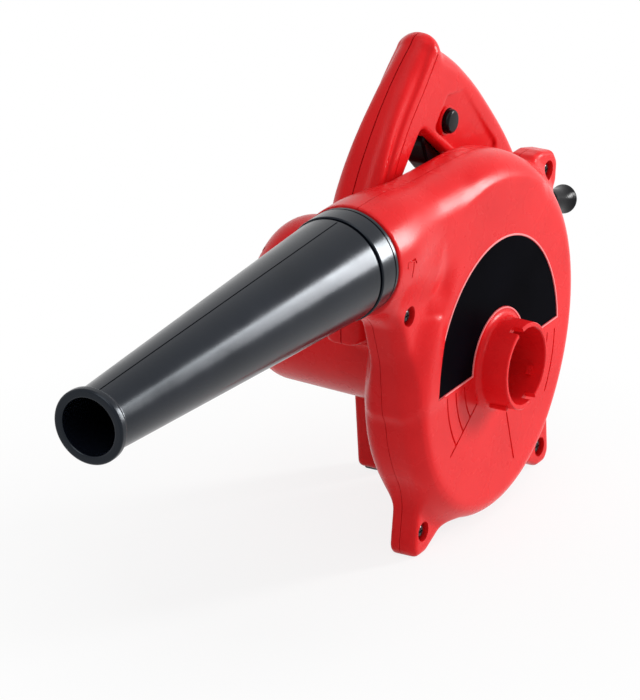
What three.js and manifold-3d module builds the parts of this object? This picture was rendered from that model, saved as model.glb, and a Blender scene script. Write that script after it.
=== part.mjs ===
// Hand-held electric blower for drying cars: a centrifugal fan in a scroll housing, a universal motor
// behind it, a loop handle with a trigger over the motor, and a tapered nozzle on the outlet.
// Millimetres, +Z up. The fan turns about an axis along Y; the intake faces -Y and the nozzle points to -X.
import * as THREE from "three";
import { mergeVertices } from "three/addons/utils/BufferGeometryUtils.js";
import Module from "manifold-3d";

const wasm = await Module();
wasm.setup();

// ---------- driving dimensions ----------
const gap = 0.3; // between pieces that touch
const wall = 2.8; // moulded housing wall

// Scroll housing. Its front face is at y = 0 and its fan axis is x = z = 0.
const scrollRadius = 86;
const scrollRise = 24; // what the scroll grows by on its way to the outlet
const scrollWidth = 36;
const seamY = 20; // parting line of fan cover and main housing
const scrollFrontFillet = 11;
const scrollBackFillet = 10;
const scrollSteps = 45;

// Outlet and nozzle, on an axis along X.
const outletY = 24;
const outletRise = 4; // of the outlet's axis over the scroll's radius
const outletZ = scrollRadius + outletRise;
const outletRadius = 28.6;
const outletEndX = -112;
const outletBlendX = -42; // where the outlet's section has become the scroll's
const outletRecess = 7; // from the scroll's face back to the front of the outlet
const nozzleInsert = 14;
const nozzleRingLength = 16;
const nozzleLength = 241;
const nozzleRingRadius = 27.8;
const nozzleTipRadius = 16.3;
const nozzleLipRadius = 18.6;
const nozzleLipWidth = 5;
const nozzleWall = 2.2;

// Intake collar on the front face.
const collarRadius = 23.4;
const collarBaseRadius = 28;
const collarLength = 17;
const collarWall = 2.6;
const collarSteps = 32;

// Blank label round the collar.
const labelRadius = 66.5;
const labelThickness = 0.5;
const labelSteps = 20;

// Motor barrel and handle.
const barrelRadius = 47.5;
const barrelRise = 14.5; // of the barrel's axis over the fan's: the leads to the switch pass above the motor
const barrelEndY = 135;
const barrelEndFillet = 20;
const barrelSteps = 36;
const barrelTaper = 2.5; // what the barrel's radius loses on its way to the end bell
const handleY = 50; // parting line of main and rear housing, and middle of the handle
const handleThickness = 29;
const handleFillet = 10;
const ventCount = 16;
const ventWidth = 3.4;

// What stands on the floor.
const footClearance = 3; // from the scroll's underside to the floor
const floorZ = -scrollRadius - footClearance;
const legWidth = 24;
const legDepth = 15;
const legX = 23;
const legY = 88;
const padHeight = 34;
const legTaper = 5; // what the leg's side loses down to the floor

// Screws.
const screwRadius = 2;
const screwHeadRadius = 3.6;
const screwHeadHeight = 2.6;
const screwSteps = 10;
const lugThickness = 9;
const lugBackThickness = 6;
const lugFillet = 3;

// Rotating parts.
const shaftRadius = 4;
const runningGap = 0.1; // round the shaft, in the bearings and in what is fitted on it
const boreRadius = shaftRadius + runningGap;
const impellerRadius = 63;
const vaneCount = 9;
const vaneThickness = 2.2;
const bearingRadius = 11;
const bearingWidth = 7;
const shaftCollarRadius = 7.5;
const armatureRadius = 17.5;
const armatureLength = 44;
const statorRadius = 27.5;
const airGap = 0.8;
const commutatorRadius = 11;

// Controls.
const triggerTravel = 6;
const triggerWidth = 13;
const buttonRadius = 6.5;
const buttonTravel = 2.5;
const buttonHeight = 5;

// Cord boot at the foot of the grip.
const bootRadius = 6.6;
const bootFlareRadius = 8.2;
const bootLength = 55;
const bootTilt = THREE.MathUtils.degToRad(16);
const cordRadius = 3.6;

// ---------- solids ----------
const vec2 = (x, y) => new THREE.Vector2(x, y);
const vec3 = (x, y, z) => new THREE.Vector3(x, y, z);

// A closed three.js geometry as a solid whose faces point out.
function solid(geometry) {
  const plain = geometry.index ? geometry.toNonIndexed() : geometry.clone();
  plain.deleteAttribute("normal");
  plain.deleteAttribute("uv");
  const merged = mergeVertices(plain, 1e-4);
  const corners = [];
  for (let i = 0; i < merged.index.count; i += 3) {
    const [a, b, c] = [0, 1, 2].map((k) => merged.index.getX(i + k));
    if (a !== b && b !== c && c !== a) corners.push([a, b, c]);
  }
  const build = (order) =>
    new wasm.Manifold(
      new wasm.Mesh({
        numProp: 3,
        vertProperties: merged.attributes.position.array,
        triVerts: new Uint32Array(corners.flatMap(order)),
      }),
    );
  const made = build(([a, b, c]) => [a, b, c]);
  return made.volume() > 0 ? made : build(([a, b, c]) => [a, c, b]);
}

const join = (...solids) => solids.reduce((sum, next) => sum.add(next));
const cut = (from, ...tools) => tools.reduce((rest, tool) => rest.subtract(tool), from);

function box(x0, x1, y0, y1, z0, z1) {
  const made = new THREE.BoxGeometry(x1 - x0, y1 - y0, z1 - z0);
  return solid(made.translate((x0 + x1) / 2, (y0 + y1) / 2, (z0 + z1) / 2));
}

const huge = 900;
const behind = (y) => box(-huge, huge, y, huge, -huge, huge);
const inFront = (y) => box(-huge, huge, -huge, y, -huge, huge);

// A revolved profile of [radius, distance along the axis] points, about the Y axis.
function turned(profile, segments = 32) {
  return new THREE.LatheGeometry(profile.map(([r, y]) => vec2(r, y)), segments);
}
const turnedY = (profile, segments) => solid(turned(profile, segments));
const rodY = (radius, y0, y1, segments = 24) =>
  turnedY([[0, y0], [radius, y0], [radius, y1], [0, y1]], segments);
const ringY = (inner, outer, y0, y1, segments = 24) =>
  turnedY([[inner, y0], [outer, y0], [outer, y1], [inner, y1], [inner, y0]], segments);

// The same about the outlet's axis; distances run from the outlet's end face towards the nozzle's mouth.
function turnedOnOutlet(profile, segments = 32) {
  return solid(turned(profile, segments).rotateZ(Math.PI / 2).translate(outletEndX, outletY, outletZ));
}

// Rings of points joined by a skin and closed by flat ends; outline is the ends' shape.
function skinned(rings, outline) {
  const count = rings[0].length;
  const faces = [];
  for (let k = 0; k + 1 < rings.length; k++) {
    for (let i = 0; i < count; i++) {
      const a = k * count + i;
      const b = k * count + ((i + 1) % count);
      faces.push(a, b, b + count, a, b + count, a + count);
    }
  }
  const last = (rings.length - 1) * count;
  for (const [a, b, c] of THREE.ShapeUtils.triangulateShape([...outline], [])) {
    faces.push(c, b, a);
    faces.push(last + a, last + b, last + c);
  }
  return solid(new THREE.BufferGeometry().setFromPoints(rings.flat()).setIndex(faces));
}

// An outline without points that lie on its neighbours or straight between them.
function spare(outline) {
  const apart = outline.filter((point, i) => point.distanceTo(outline.at(i - 1)) > 0.05);
  return apart.filter((point, i) => {
    const before = point.clone().sub(apart.at(i - 1));
    const after = apart[(i + 1) % apart.length].clone().sub(point);
    return Math.abs(before.cross(after)) > 1e-3 * before.length() * after.length();
  });
}

function anticlockwise(outline) {
  return THREE.ShapeUtils.isClockWise(outline) ? [...outline].reverse() : outline;
}

// An outline moved inwards by d, or outwards where d is negative.
function inset(outline, d) {
  const out = (from, to) => vec2(to.y - from.y, from.x - to.x).normalize();
  return outline.map((point, i) => {
    const before = out(outline.at(i - 1), point);
    const after = out(point, outline[(i + 1) % outline.length]);
    const mean = before.clone().add(after).normalize();
    return point.clone().addScaledVector(mean, -d / Math.max(0.4, mean.dot(before)));
  });
}

// An outline in X and Z, carried from y0 to y1, with its front and back edges rounded.
function plate(outline, y0, y1, { front = 0, back = 0, steps = 3, grow = 0 } = {}) {
  const base = inset(spare(anticlockwise(outline)), -grow);
  const levels = [];
  const arc = (radius) => {
    if (!radius) return [[0, 0]];
    return Array.from({ length: steps + 1 }, (_, k) => {
      const angle = (k / steps) * (Math.PI / 2);
      return [radius * (1 - Math.sin(angle)), radius * (1 - Math.cos(angle))];
    });
  };
  for (const [d, rise] of arc(front)) levels.push([d, y0 + rise]);
  for (const [d, rise] of arc(back).reverse()) levels.push([d, y1 - rise]);
  const rings = levels.map(([d, y]) => inset(base, d).map((p) => vec3(p.x, y, p.y)));
  return skinned(rings, base);
}

const circle = (x, z, radius, count) =>
  Array.from({ length: count }, (_, i) => {
    const angle = (i / count) * 2 * Math.PI;
    return vec2(x + radius * Math.cos(angle), z + radius * Math.sin(angle));
  });

// A closed outline with each corner rounded by its own radius: [x, z, radius].
function rounded(corners, steps = 4) {
  const points = [];
  corners.forEach(([x, z, radius], i) => {
    const here = vec2(x, z);
    const before = vec2(...corners.at(i - 1).slice(0, 2));
    const after = vec2(...corners[(i + 1) % corners.length].slice(0, 2));
    const toBefore = before.clone().sub(here).normalize();
    const toAfter = after.clone().sub(here).normalize();
    const half = Math.acos(THREE.MathUtils.clamp(toBefore.dot(toAfter), -1, 1)) / 2;
    const reach = Math.min(radius / Math.tan(half), before.distanceTo(here) / 2, after.distanceTo(here) / 2);
    const from = here.clone().addScaledVector(toBefore, reach);
    const to = here.clone().addScaledVector(toAfter, reach);
    const curve = new THREE.QuadraticBezierCurve(from, here, to);
    points.push(...(radius ? curve.getPoints(steps) : [here]));
  });
  return points;
}

// ---------- the scroll and its outlet ----------
const degrees = THREE.MathUtils.degToRad;
const riseStart = degrees(-40);
const riseTop = degrees(95);
const riseEnd = degrees(142);

// Distance of the scroll's wall from the fan axis, at an angle from +X towards +Z.
function scrollAt(turn) {
  const angle = turn > Math.PI ? turn - 2 * Math.PI : turn;
  const up = THREE.MathUtils.smoothstep(angle, riseStart, riseTop);
  const down = THREE.MathUtils.smoothstep(angle, riseTop, riseEnd);
  return scrollRadius + scrollRise * up * (1 - down);
}
const scrollOutline = Array.from({ length: scrollSteps }, (_, i) => {
  const angle = (i / scrollSteps) * 2 * Math.PI;
  return vec2(scrollAt(angle) * Math.cos(angle), scrollAt(angle) * Math.sin(angle));
});

// The outlet's section turns from the nozzle's circle into the scroll's rounded rectangle.
const outletInnerX = -8;
const outletSteps = 28;
function outlet(thinner, startX) {
  const roundX = outletEndX + nozzleInsert + 3;
  const between = [0.3, 0.6].map((share) => THREE.MathUtils.lerp(roundX, outletBlendX, share));
  const stations = [startX, roundX, ...between, outletBlendX, outletInnerX];
  const rings = stations.map((x) => {
    const share = THREE.MathUtils.smoothstep(x, roundX, outletBlendX);
    const power = THREE.MathUtils.lerp(2, 4.5, share);
    const halfY = THREE.MathUtils.lerp(outletRadius, (scrollWidth - outletRecess) / 2, share) - thinner;
    const halfZ = outletRadius - thinner;
    const midY = THREE.MathUtils.lerp(outletY, (scrollWidth + outletRecess) / 2, share);
    const top = scrollRadius + scrollRise - outletRadius;
    const midZ = THREE.MathUtils.lerp(outletZ, top, share);
    return Array.from({ length: outletSteps }, (_, i) => {
      const angle = (i / outletSteps) * 2 * Math.PI;
      const bend = (v) => Math.sign(v) * Math.abs(v) ** (2 / power);
      return vec3(x, midY + halfY * bend(Math.cos(angle)), midZ + halfZ * bend(Math.sin(angle)));
    });
  });
  return skinned(rings, rings[0].map((p) => vec2(p.y, p.z)));
}
const outletOuter = outlet(0, outletEndX);
const outletInner = outlet(wall, outletEndX - 1);
const scrollOuter = plate(scrollOutline, 0, scrollWidth, {
  front: scrollFrontFillet,
  back: scrollBackFillet,
});
const scrollInner = plate(inset(scrollOutline, wall), wall, scrollWidth - wall, {
  front: scrollFrontFillet - wall,
  steps: 2,
});

// Screwed lugs round the scroll: two feet, an ear, and a web under the outlet. Each outline is drawn from
// its screw, which keeps its place at the scroll's edge.
const lugFront = seamY - lugThickness;
const lugs = [
  {
    x: 23.6 - scrollRadius,
    z: 10 - scrollRadius,
    front: lugFront,
    outline: [[-3.6, 30, 0], [-10.1, -8, 6], [-6.5, -13, 5], [3.5, -13, 6], [28.4, -2, 0], [32.4, 26, 0]],
  },
  {
    x: scrollRadius - 17,
    z: 8 - scrollRadius,
    front: lugFront,
    outline: [[9, 38, 0], [11.5, -6, 6], [7.5, -11, 5], [-2, -11, 6], [-19, -2, 0], [-29, 28, 0]],
  },
  {
    x: scrollRadius - 8.5,
    z: scrollRadius - 6.5,
    front: lugFront,
    outline: [
      [-33.5, 0.5, 0], [-25, 15.5, 5], [-6, 13.5, 6], [7.5, 9.5, 6], [12, 2, 5], [10.5, -9.5, 7], [-5.5, -27.5, 0],
    ],
  },
  {
    x: -scrollRadius - 2,
    z: outletZ - outletRadius - 6.4,
    front: 4,
    outline: [[-22, 29, 0], [-20, 9, 6], [-10, -5, 10], [-3, -27, 14], [2, -55, 0], [28, -55, 0], [28, 29, 0]],
  },
];
const lugSolid = ({ x, z, outline }, y0, y1) =>
  plate(rounded(outline.map(([dx, dz, radius]) => [x + dx, z + dz, radius]), 3), y0, y1, {
    front: y0 < seamY ? lugFillet : 0,
    steps: 2,
  });

// ---------- screws ----------
// A pan head screw whose head rests at y, pointing along +Y, or along -Y where flipped.
function screw(x, y, z, length, flipped = false) {
  const body = turned(
    [
      [0, -screwHeadHeight],
      [screwHeadRadius * 0.7, -screwHeadHeight],
      [screwHeadRadius, -screwHeadHeight * 0.45],
      [screwHeadRadius, 0],
      [screwRadius, 0],
      [screwRadius, length - 2],
      [screwRadius * 0.4, length],
      [0, length],
    ],
    screwSteps,
  );
  return solid(body.rotateX(flipped ? Math.PI : 0).translate(x, y, z));
}

// A solid's own geometry, and a solid moved by a change to that geometry.
function geometryOf(made) {
  const mesh = made.getMesh();
  const places = new Float32Array(mesh.numVert * 3);
  for (let i = 0; i < mesh.numVert; i++)
    places.set(mesh.vertProperties.subarray(i * mesh.numProp, i * mesh.numProp + 3), i * 3);
  const made3 = new THREE.BufferGeometry();
  made3.setAttribute("position", new THREE.BufferAttribute(places, 3));
  made3.setIndex(new THREE.BufferAttribute(mesh.triVerts, 1));
  return made3;
}
const placed = (made, move) => solid(move(geometryOf(made)));

// A hole for a screw: a clearance bore, and a well for its head that is open towards the driver.
function screwHole(x, y, z, length, flipped = false) {
  const well = 60;
  const body = turned(
    [
      [0, -well],
      [screwHeadRadius + 0.9, -well],
      [screwHeadRadius + 0.6, 0],
      [screwRadius + gap / 2, 0],
      [screwRadius + gap / 2, length + 0.5],
      [0, length + 0.5],
    ],
    screwSteps,
  );
  return solid(body.rotateX(flipped ? Math.PI : 0).translate(x, y, z));
}
const coverScrewSeat = 4; // from the front of a lug to the seat of its screw's head
const coverScrews = lugs.map(({ x, z, front }) => {
  const seat = front + coverScrewSeat;
  return { x, z, y: seat, length: seamY + lugBackThickness - seat - 2 };
});

// ---------- fan cover ----------
const collarBore = turnedY(
  [[0, -collarLength - 1], [collarRadius - collarWall, -collarLength - 1], [collarRadius - collarWall, wall + 1], [0, wall + 1]],
  collarSteps,
);
const collar = turnedY(
  [
    [collarRadius - collarWall, -collarLength],
    [collarRadius, -collarLength],
    [collarRadius + 0.4, -collarLength * 0.55],
    [collarRadius + 1.4, -collarLength * 0.2],
    [collarBaseRadius, 0],
    [collarBaseRadius, wall],
    [collarRadius - collarWall, wall],
    [collarRadius - collarWall, -collarLength],
  ],
  collarSteps,
);
// Bayonet: two slots in the collar's rim and a stop rib on its outside take a dust bag's ring.
const bayonetSlot = (angle) => {
  const made = new THREE.BoxGeometry(6, 7, 5).translate(collarRadius - 1, -collarLength + 2.5, 0);
  return solid(made.rotateY(-angle));
};
const bayonetTab = (angle) => {
  const made = new THREE.BoxGeometry(3.4, 2.2, 5).translate(collarRadius - collarWall - 1, -collarLength * 0.55, 0);
  return solid(made.rotateY(-angle));
};
const bayonetRib = () => {
  const rise = new THREE.BoxGeometry(3, 11, 2.2).translate(collarRadius + 0.9, -collarLength * 0.5, 0);
  return solid(rise.rotateY(-degrees(-128)));
};

// Thin grooves in the face: arcs on both sides below the label, and a slanting line where the left ones end.
const grooveDepth = 0.6;
const grooveWidth = 0.9;
function grooveArc(radius, from, to) {
  const steps = 3;
  const side = (r, order) =>
    Array.from({ length: steps + 1 }, (_, k) => {
      const angle = degrees(THREE.MathUtils.lerp(from, to, order ? k / steps : 1 - k / steps));
      return vec2(r * Math.cos(angle), r * Math.sin(angle));
    });
  const outline = [...side(radius + grooveWidth / 2, true), ...side(radius - grooveWidth / 2, false)];
  return plate(outline, -1, grooveDepth);
}
function grooveLine(x0, z0, x1, z1) {
  const along = vec2(x1 - x0, z1 - z0).normalize();
  const across = vec2(-along.y, along.x).multiplyScalar(grooveWidth / 2);
  const ends = [vec2(x0, z0), vec2(x1, z1)];
  return plate(
    [ends[0].clone().sub(across), ends[1].clone().sub(across), ends[1].clone().add(across), ends[0].clone().add(across)],
    -1,
    grooveDepth,
  );
}
const grooves = [
  ...[34, 42, 50, 58].map((radius, i) => grooveArc(radius, 183, 196 + 10 * i)),
  ...[44, 52, 60].map((radius, i) => grooveArc(radius, 357 - 24 - 5 * i, 357)),
  grooveLine(-32, -9, -36, -56),
];

const coverOuter = join(
  scrollOuter.intersect(inFront(seamY - gap / 2)),
  outletOuter.intersect(inFront(seamY - gap / 2)),
  ...lugs.map((lug) => lugSolid(lug, lug.front, seamY - gap / 2)),
);
const labelSeat = labelThickness + 0.2;
const labelOutline = (grow) => {
  const low = 2 - grow;
  const ring = (radius, order) =>
    Array.from({ length: labelSteps + 1 }, (_, k) => {
      const start = Math.asin(low / radius);
      const angle = THREE.MathUtils.lerp(start, Math.PI - start, order ? k / labelSteps : 1 - k / labelSteps);
      return vec2(radius * Math.cos(angle), radius * Math.sin(angle));
    });
  return [...ring(labelRadius + grow, true), ...ring(collarBaseRadius + 1.2 - grow, false)];
};
const fanCover = cut(
  join(
    cut(coverOuter, scrollInner, outletInner),
    collar,
    bayonetRib(),
  ),
  collarBore,
  bayonetSlot(degrees(-72)),
  bayonetSlot(degrees(108)),
  plate(labelOutline(0.3), -2, labelSeat - 0.2),
  ...grooves,
  ...coverScrews.map(({ x, y, z, length }) => screwHole(x, y, z, length)),
).add(join(bayonetTab(degrees(62)), bayonetTab(degrees(150)), bayonetTab(degrees(-30))));

const intakeLabel = plate(labelOutline(0), 0.1, labelSeat - 0.3);

// ---------- nozzle ----------
const spigotRadius = outletRadius - wall - gap;
const nozzle = turnedOnOutlet([
  [spigotRadius - nozzleWall, -nozzleInsert],
  [spigotRadius - 0.5, -nozzleInsert],
  [spigotRadius, -nozzleInsert + 2],
  [spigotRadius, gap],
  [nozzleRingRadius, gap],
  [nozzleRingRadius, nozzleRingLength - 0.8],
  [nozzleRingRadius - 1.6, nozzleRingLength],
  [nozzleRingRadius - 1.6, nozzleRingLength + 1],
  [nozzleRingRadius - 0.8, nozzleRingLength + 1.6],
  [nozzleTipRadius, nozzleLength - nozzleLipWidth - 1.5],
  [nozzleLipRadius - 0.6, nozzleLength - nozzleLipWidth],
  [nozzleLipRadius, nozzleLength - nozzleLipWidth + 1.2],
  [nozzleLipRadius, nozzleLength - 1.6],
  [nozzleLipRadius - 1.2, nozzleLength],
  [nozzleTipRadius - nozzleWall + 0.8, nozzleLength],
  [nozzleTipRadius - nozzleWall, nozzleLength - 1.5],
  [nozzleRingRadius - 0.8 - nozzleWall, nozzleRingLength],
  [spigotRadius - nozzleWall, 0],
  [spigotRadius - nozzleWall, -nozzleInsert],
]);

// ---------- handle ----------
const handleFront = handleY - handleThickness / 2;
const handleBack = handleY + handleThickness / 2;
const frontEdge = [[-78, 28], [-77, 62], [-70, 93], [-57, 117], [-35, 140.5], [-6.5, 161]];
const rearEdge = [[17, 160.5], [35, 147.5], [59, 123], [81, 98], [97, 76], [112, 56], [121, 42], [124, 32]];
const throughPoints = (points, count) =>
  new THREE.SplineCurve(points.map(([x, z]) => vec2(x, z))).getPoints(count);
const tipX = 5;
const tipZ = 160.5;
const tipRadius = 10.5;
const tip = Array.from({ length: 5 }, (_, k) => {
  const angle = degrees(142 - 30 * k);
  return vec2(tipX + tipRadius * Math.cos(angle), tipZ + tipRadius * Math.sin(angle));
});
const heel = [vec2(123, 20), vec2(117, 9), vec2(105, 2), vec2(80, -5), vec2(40, -8), vec2(0, 0)];
const handleOutline = anticlockwise([
  ...throughPoints(frontEdge, 8),
  ...tip,
  ...throughPoints(rearEdge, 9),
  ...heel,
]);
const fingerHole = rounded(
  [
    [-12, 126, 5],
    [-42, 96, 40],
    [-50, 66, 10],
    [0, 62, 30],
    [58, 46, 12],
    [74, 55, 9],
  ],
  3,
);
// The pocket round the lock button, on the handle's front side.
const buttonX = 18;
const buttonZ = 121;
const pocketDepth = 3.5;
const pocket = rounded(
  [
    [-2, 118.5, 3],
    [16, 136, 6],
    [33, 134, 6],
    [70, 93, 6],
    [55, 73, 4],
  ],
  4,
);

const handleOuter = cut(
  plate(handleOutline, handleFront, handleBack, { front: handleFillet, back: handleFillet, steps: 2 }),
  plate(fingerHole, handleFront - 1, handleBack + 1),
  plate(pocket, handleFront - 1, handleFront + pocketDepth),
);
const handleInner = cut(
  plate(inset(handleOutline, wall), handleFront + wall, handleBack - wall, {
    front: handleFillet - wall,
    back: handleFillet - wall,
    steps: 1,
  }),
  plate(fingerHole, handleFront - 1, handleBack + 1, { grow: wall }),
  plate(pocket, handleFront - 1, handleFront + pocketDepth + wall, { grow: wall }),
);

// ---------- motor barrel ----------
function barrelProfile(thinner, y0) {
  const radius = barrelRadius - thinner;
  const endRadius = radius - barrelTaper;
  const end = barrelEndY - thinner;
  const fillet = barrelEndFillet - thinner;
  const arc = Array.from({ length: 4 }, (_, k) => {
    const angle = (k / 3) * (Math.PI / 2);
    return [endRadius - fillet + fillet * Math.cos(angle), end - fillet + fillet * Math.sin(angle)];
  });
  return [[0, y0], [radius, y0], [radius, handleY], ...arc, [0, end]];
}
const backWallY = scrollWidth - wall;
const onBarrel = (made) => placed(made, (g) => g.translate(0, 0, barrelRise));
const barrelOuter = onBarrel(turnedY(barrelProfile(0, backWallY), barrelSteps));
const barrelInner = onBarrel(turnedY(barrelProfile(wall, scrollWidth), barrelSteps));

// Leg under the barrel: a moulded channel that holds a rubber pad.
const legTop = barrelRise - barrelRadius + 12;
const legSide = (z) => legX - legWidth / 2 + (legTaper * (legTop - z)) / (legTop - floorZ);
const legOuter = plate(
  rounded([
    [legSide(legTop), legTop, 0],
    [legSide(floorZ + 2), floorZ + 2, 4],
    [legX + legWidth / 2, floorZ + 2, 4],
    [legX + legWidth / 2, legTop, 0],
  ]),
  legY - legDepth / 2,
  legY + legDepth / 2,
);
const padOutline = (grow) =>
  rounded([
    [legSide(floorZ + padHeight) + wall - grow, floorZ + padHeight + grow, 0],
    [legSide(floorZ) + wall - grow, floorZ, 4],
    [legX + legWidth / 2 - wall + grow, floorZ, 4],
    [legX + legWidth / 2 - wall + grow, floorZ + padHeight + grow, 0],
  ]);
const padBack = legY + legDepth / 2 - wall;
const padFront = legY - legDepth / 2 - 1.2;
const padRoom = plate(padOutline(gap), padFront - 1, padBack + gap);
const footPad = plate(padOutline(0), padFront, padBack, { front: 2, back: 1 });

// Bearing seats, and ribs that hold the stator.
const frontBearingY = scrollWidth + 1;
const rearBearingY = barrelEndY - wall - bearingWidth - 1;
const seatRing = (y0, y1) => ringY(bearingRadius + gap / 2, bearingRadius + 4, y0, y1);
const statorY0 = 55;
const statorY1 = statorY0 + armatureLength + 4;
const statorRibs = (y0, y1) =>
  join(
    ...[0, 1, 2, 3].map((k) => {
      const rib = new THREE.BoxGeometry(barrelRadius, y1 - y0, 4);
      rib.translate(statorRadius + barrelRadius / 2, (y0 + y1) / 2, 0);
      return solid(rib.rotateY(degrees(45 + 90 * k)));
    }),
  ).intersect(barrelOuter);

// Radial vents in the barrel's end.
const vents = Array.from({ length: ventCount }, (_, k) => {
  const slot = new THREE.BoxGeometry(16, 40, ventWidth).translate(32, barrelEndY, 0);
  return solid(slot.rotateY((k / ventCount) * 2 * Math.PI + degrees(11)).translate(0, 0, barrelRise));
});

// ---------- controls ----------
// The trigger slides out of the grip's inner edge, square to it.
const along = vec2(83, -70).normalize();
const pull = vec2(-along.y, along.x);
const triggerMiddle = vec2(11, 107);
const onGrip = (a, n) => triggerMiddle.clone().addScaledVector(along, a).addScaledVector(pull, n);
const triggerOutline = rounded(
  [
    [...onGrip(-17, 5).toArray(), 3.5],
    [...onGrip(-14, -3).toArray(), 6],
    [...onGrip(-3, -9).toArray(), 14],
    [...onGrip(11, -10).toArray(), 5],
    [...onGrip(14, 5).toArray(), 3.5],
  ],
  3,
);
const triggerFillet = 1.2;
const triggerStem = [onGrip(-4, 4), onGrip(4, 4), onGrip(4, 13), onGrip(-4, 13)];
const trigger = plate(triggerOutline, handleY - triggerWidth / 2, handleY + triggerWidth / 2, {
  front: triggerFillet,
  back: triggerFillet,
  steps: 2,
}).add(plate(triggerStem, handleY - 3, handleY + 3));
const windowOutline = [onGrip(-18, -8), onGrip(15.4, -8), onGrip(15.4, 14), onGrip(-18, 14)];
const triggerWindow = plate(windowOutline, handleY - triggerWidth / 2 - 0.5, handleY + triggerWidth / 2 + 0.5);

const switchOutline = [onGrip(-12, 14), onGrip(24, 14), onGrip(24, 33), onGrip(-12, 33)];
const switchHalf = 7.5;
const stemRoom = plate(
  [onGrip(-4.6, 12), onGrip(4.6, 12), onGrip(4.6, 13 + triggerTravel + 1), onGrip(-4.6, 13 + triggerTravel + 1)],
  handleY - 3.6,
  handleY + 3.6,
);
const triggerSwitch = cut(plate(switchOutline, handleY - switchHalf, handleY + switchHalf), stemRoom);

const buttonSeatY = handleFront + pocketDepth;
const buttonInner = handleY - switchHalf - gap - buttonTravel;
const lockButton = placed(
  turnedY(
    [
      [0, -buttonHeight],
      [buttonRadius - 1.6, -buttonHeight],
      [buttonRadius - 0.4, -buttonHeight + 0.6],
      [buttonRadius, -buttonHeight + 1.6],
      [buttonRadius, buttonInner - buttonSeatY],
      [0, buttonInner - buttonSeatY],
    ],
    40,
  ),
  (g) => g.translate(buttonX, buttonSeatY, buttonZ),
);
const buttonHole = placed(rodY(buttonRadius + gap, -10, wall + 2), (g) => g.translate(buttonX, buttonSeatY, buttonZ));

// ---------- cord boot ----------
const bootX = 123;
const bootZ = 40;
const bootRoot = 12; // length that sits inside the grip
const bootNeck = bootRadius - 1.8;
function alongBoot(profile, segments = 24) {
  const made = turned(profile, segments).rotateZ(-Math.PI / 2).rotateY(bootTilt);
  return solid(made.translate(bootX, handleY, bootZ));
}
const cordBoot = alongBoot([
  [cordRadius, -bootRoot],
  [bootRadius + 2, -bootRoot],
  [bootRadius + 2, -bootRoot + 3],
  [bootNeck, -bootRoot + 3.4],
  [bootNeck, 1],
  [bootRadius + 0.8, 2.5],
  [bootRadius + 0.6, 10],
  [bootRadius - 0.6, 34],
  [bootRadius - 0.4, bootLength - 14],
  [bootRadius, bootLength - 8],
  [bootFlareRadius, bootLength - 4.5],
  [bootFlareRadius, bootLength - 2],
  [bootFlareRadius - 2, bootLength],
  [cordRadius, bootLength],
  [cordRadius, -bootRoot],
]);
const bootHole = alongBoot([[0, -bootRoot + 3.7], [bootNeck + gap, -bootRoot + 3.7], [bootNeck + gap, 20], [0, 20]]);
const bootPocket = alongBoot(
  [[0, -bootRoot - 12], [bootRadius + 3, -bootRoot - 12], [bootRadius + 3, -bootRoot + 3.7], [0, -bootRoot + 3.7]],
  24,
);
const bootSeat = alongBoot([[0, 0.7], [bootRadius + 1.1, 0.7], [bootRadius + 1.1, 40], [0, 40]]);
// A block that closes the grip's end round the boot's neck.
const bootBlock = plate(inset(handleOutline, 1.2), handleY - 12, handleY + 12).intersect(
  solid(new THREE.BoxGeometry(18, 26, 26).rotateY(bootTilt).translate(bootX + 2, handleY, bootZ)),
);

// ---------- housing screws, put in from the back ----------
const housingScrewLength = 18;
const housingScrews = [
  { x: 3, z: 151 },
  { x: -61, z: 74 },
  { x: 93, z: 66 },
  { x: 106, z: 14 },
  { x: -39, z: -9 },
  { x: 39, z: -9 },
].map((at) => ({ ...at, y: handleBack - 9 }));
const housingPost = ({ x, z }, y0, y1) =>
  placed(rodY(screwHeadRadius + 2.2, y0, y1, 12), (g) => g.translate(x, 0, z));

// ---------- housings ----------
const scrollShell = join(
  scrollOuter.intersect(behind(seamY + gap / 2)),
  outletOuter.intersect(behind(seamY + gap / 2)),
  ...lugs.map((lug) => lugSolid(lug, seamY + gap / 2, seamY + lugBackThickness)),
);
const motorShell = join(barrelOuter, handleOuter, legOuter.intersect(inFront(barrelEndY)));
const barrelCore = plate(circle(0, barrelRise, barrelRadius - 1, barrelSteps), 0, 200);
const motorHollow = join(barrelInner, cut(handleInner, barrelCore));
const posts = join(...housingScrews.map((at) => housingPost(at, handleFront + 1, barrelEndY - 1)));
const motorCase = cut(
  join(cut(motorShell, motorHollow), posts.intersect(motorShell), bootBlock),
  bootHole,
  bootSeat,
  bootPocket,
  triggerWindow,
  buttonHole,
  ...housingScrews.map(({ x, y, z }) => screwHole(x, y, z, housingScrewLength, true)),
);
const shaftHole = rodY(shaftCollarRadius + 1, backWallY - 1, scrollWidth + 2);

const mainHousing = cut(
  join(
    cut(join(scrollShell, motorCase.intersect(inFront(handleY - gap / 2))), scrollInner, outletInner),
    seatRing(backWallY, frontBearingY + bearingWidth),
    cut(statorRibs(scrollWidth - 1, handleY - gap / 2), rodY(statorRadius + gap, 0, 200)),
  ),
  shaftHole,
  rodY(bearingRadius + gap / 2, frontBearingY - gap, frontBearingY + bearingWidth + 1),
  ...coverScrews.map(({ x, y, z, length }) => screwHole(x, y, z, length)),
  ...housingScrews.map(({ x, y, z }) => screwHole(x, y, z, housingScrewLength, true)),
);
const rearHousing = join(
  cut(motorCase.intersect(behind(handleY + gap / 2)), ...vents, padRoom),
  seatRing(rearBearingY - 0.5, barrelEndY - 1),
  cut(statorRibs(handleY + gap / 2, statorY1), rodY(statorRadius + gap, 0, 200)),
);

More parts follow.
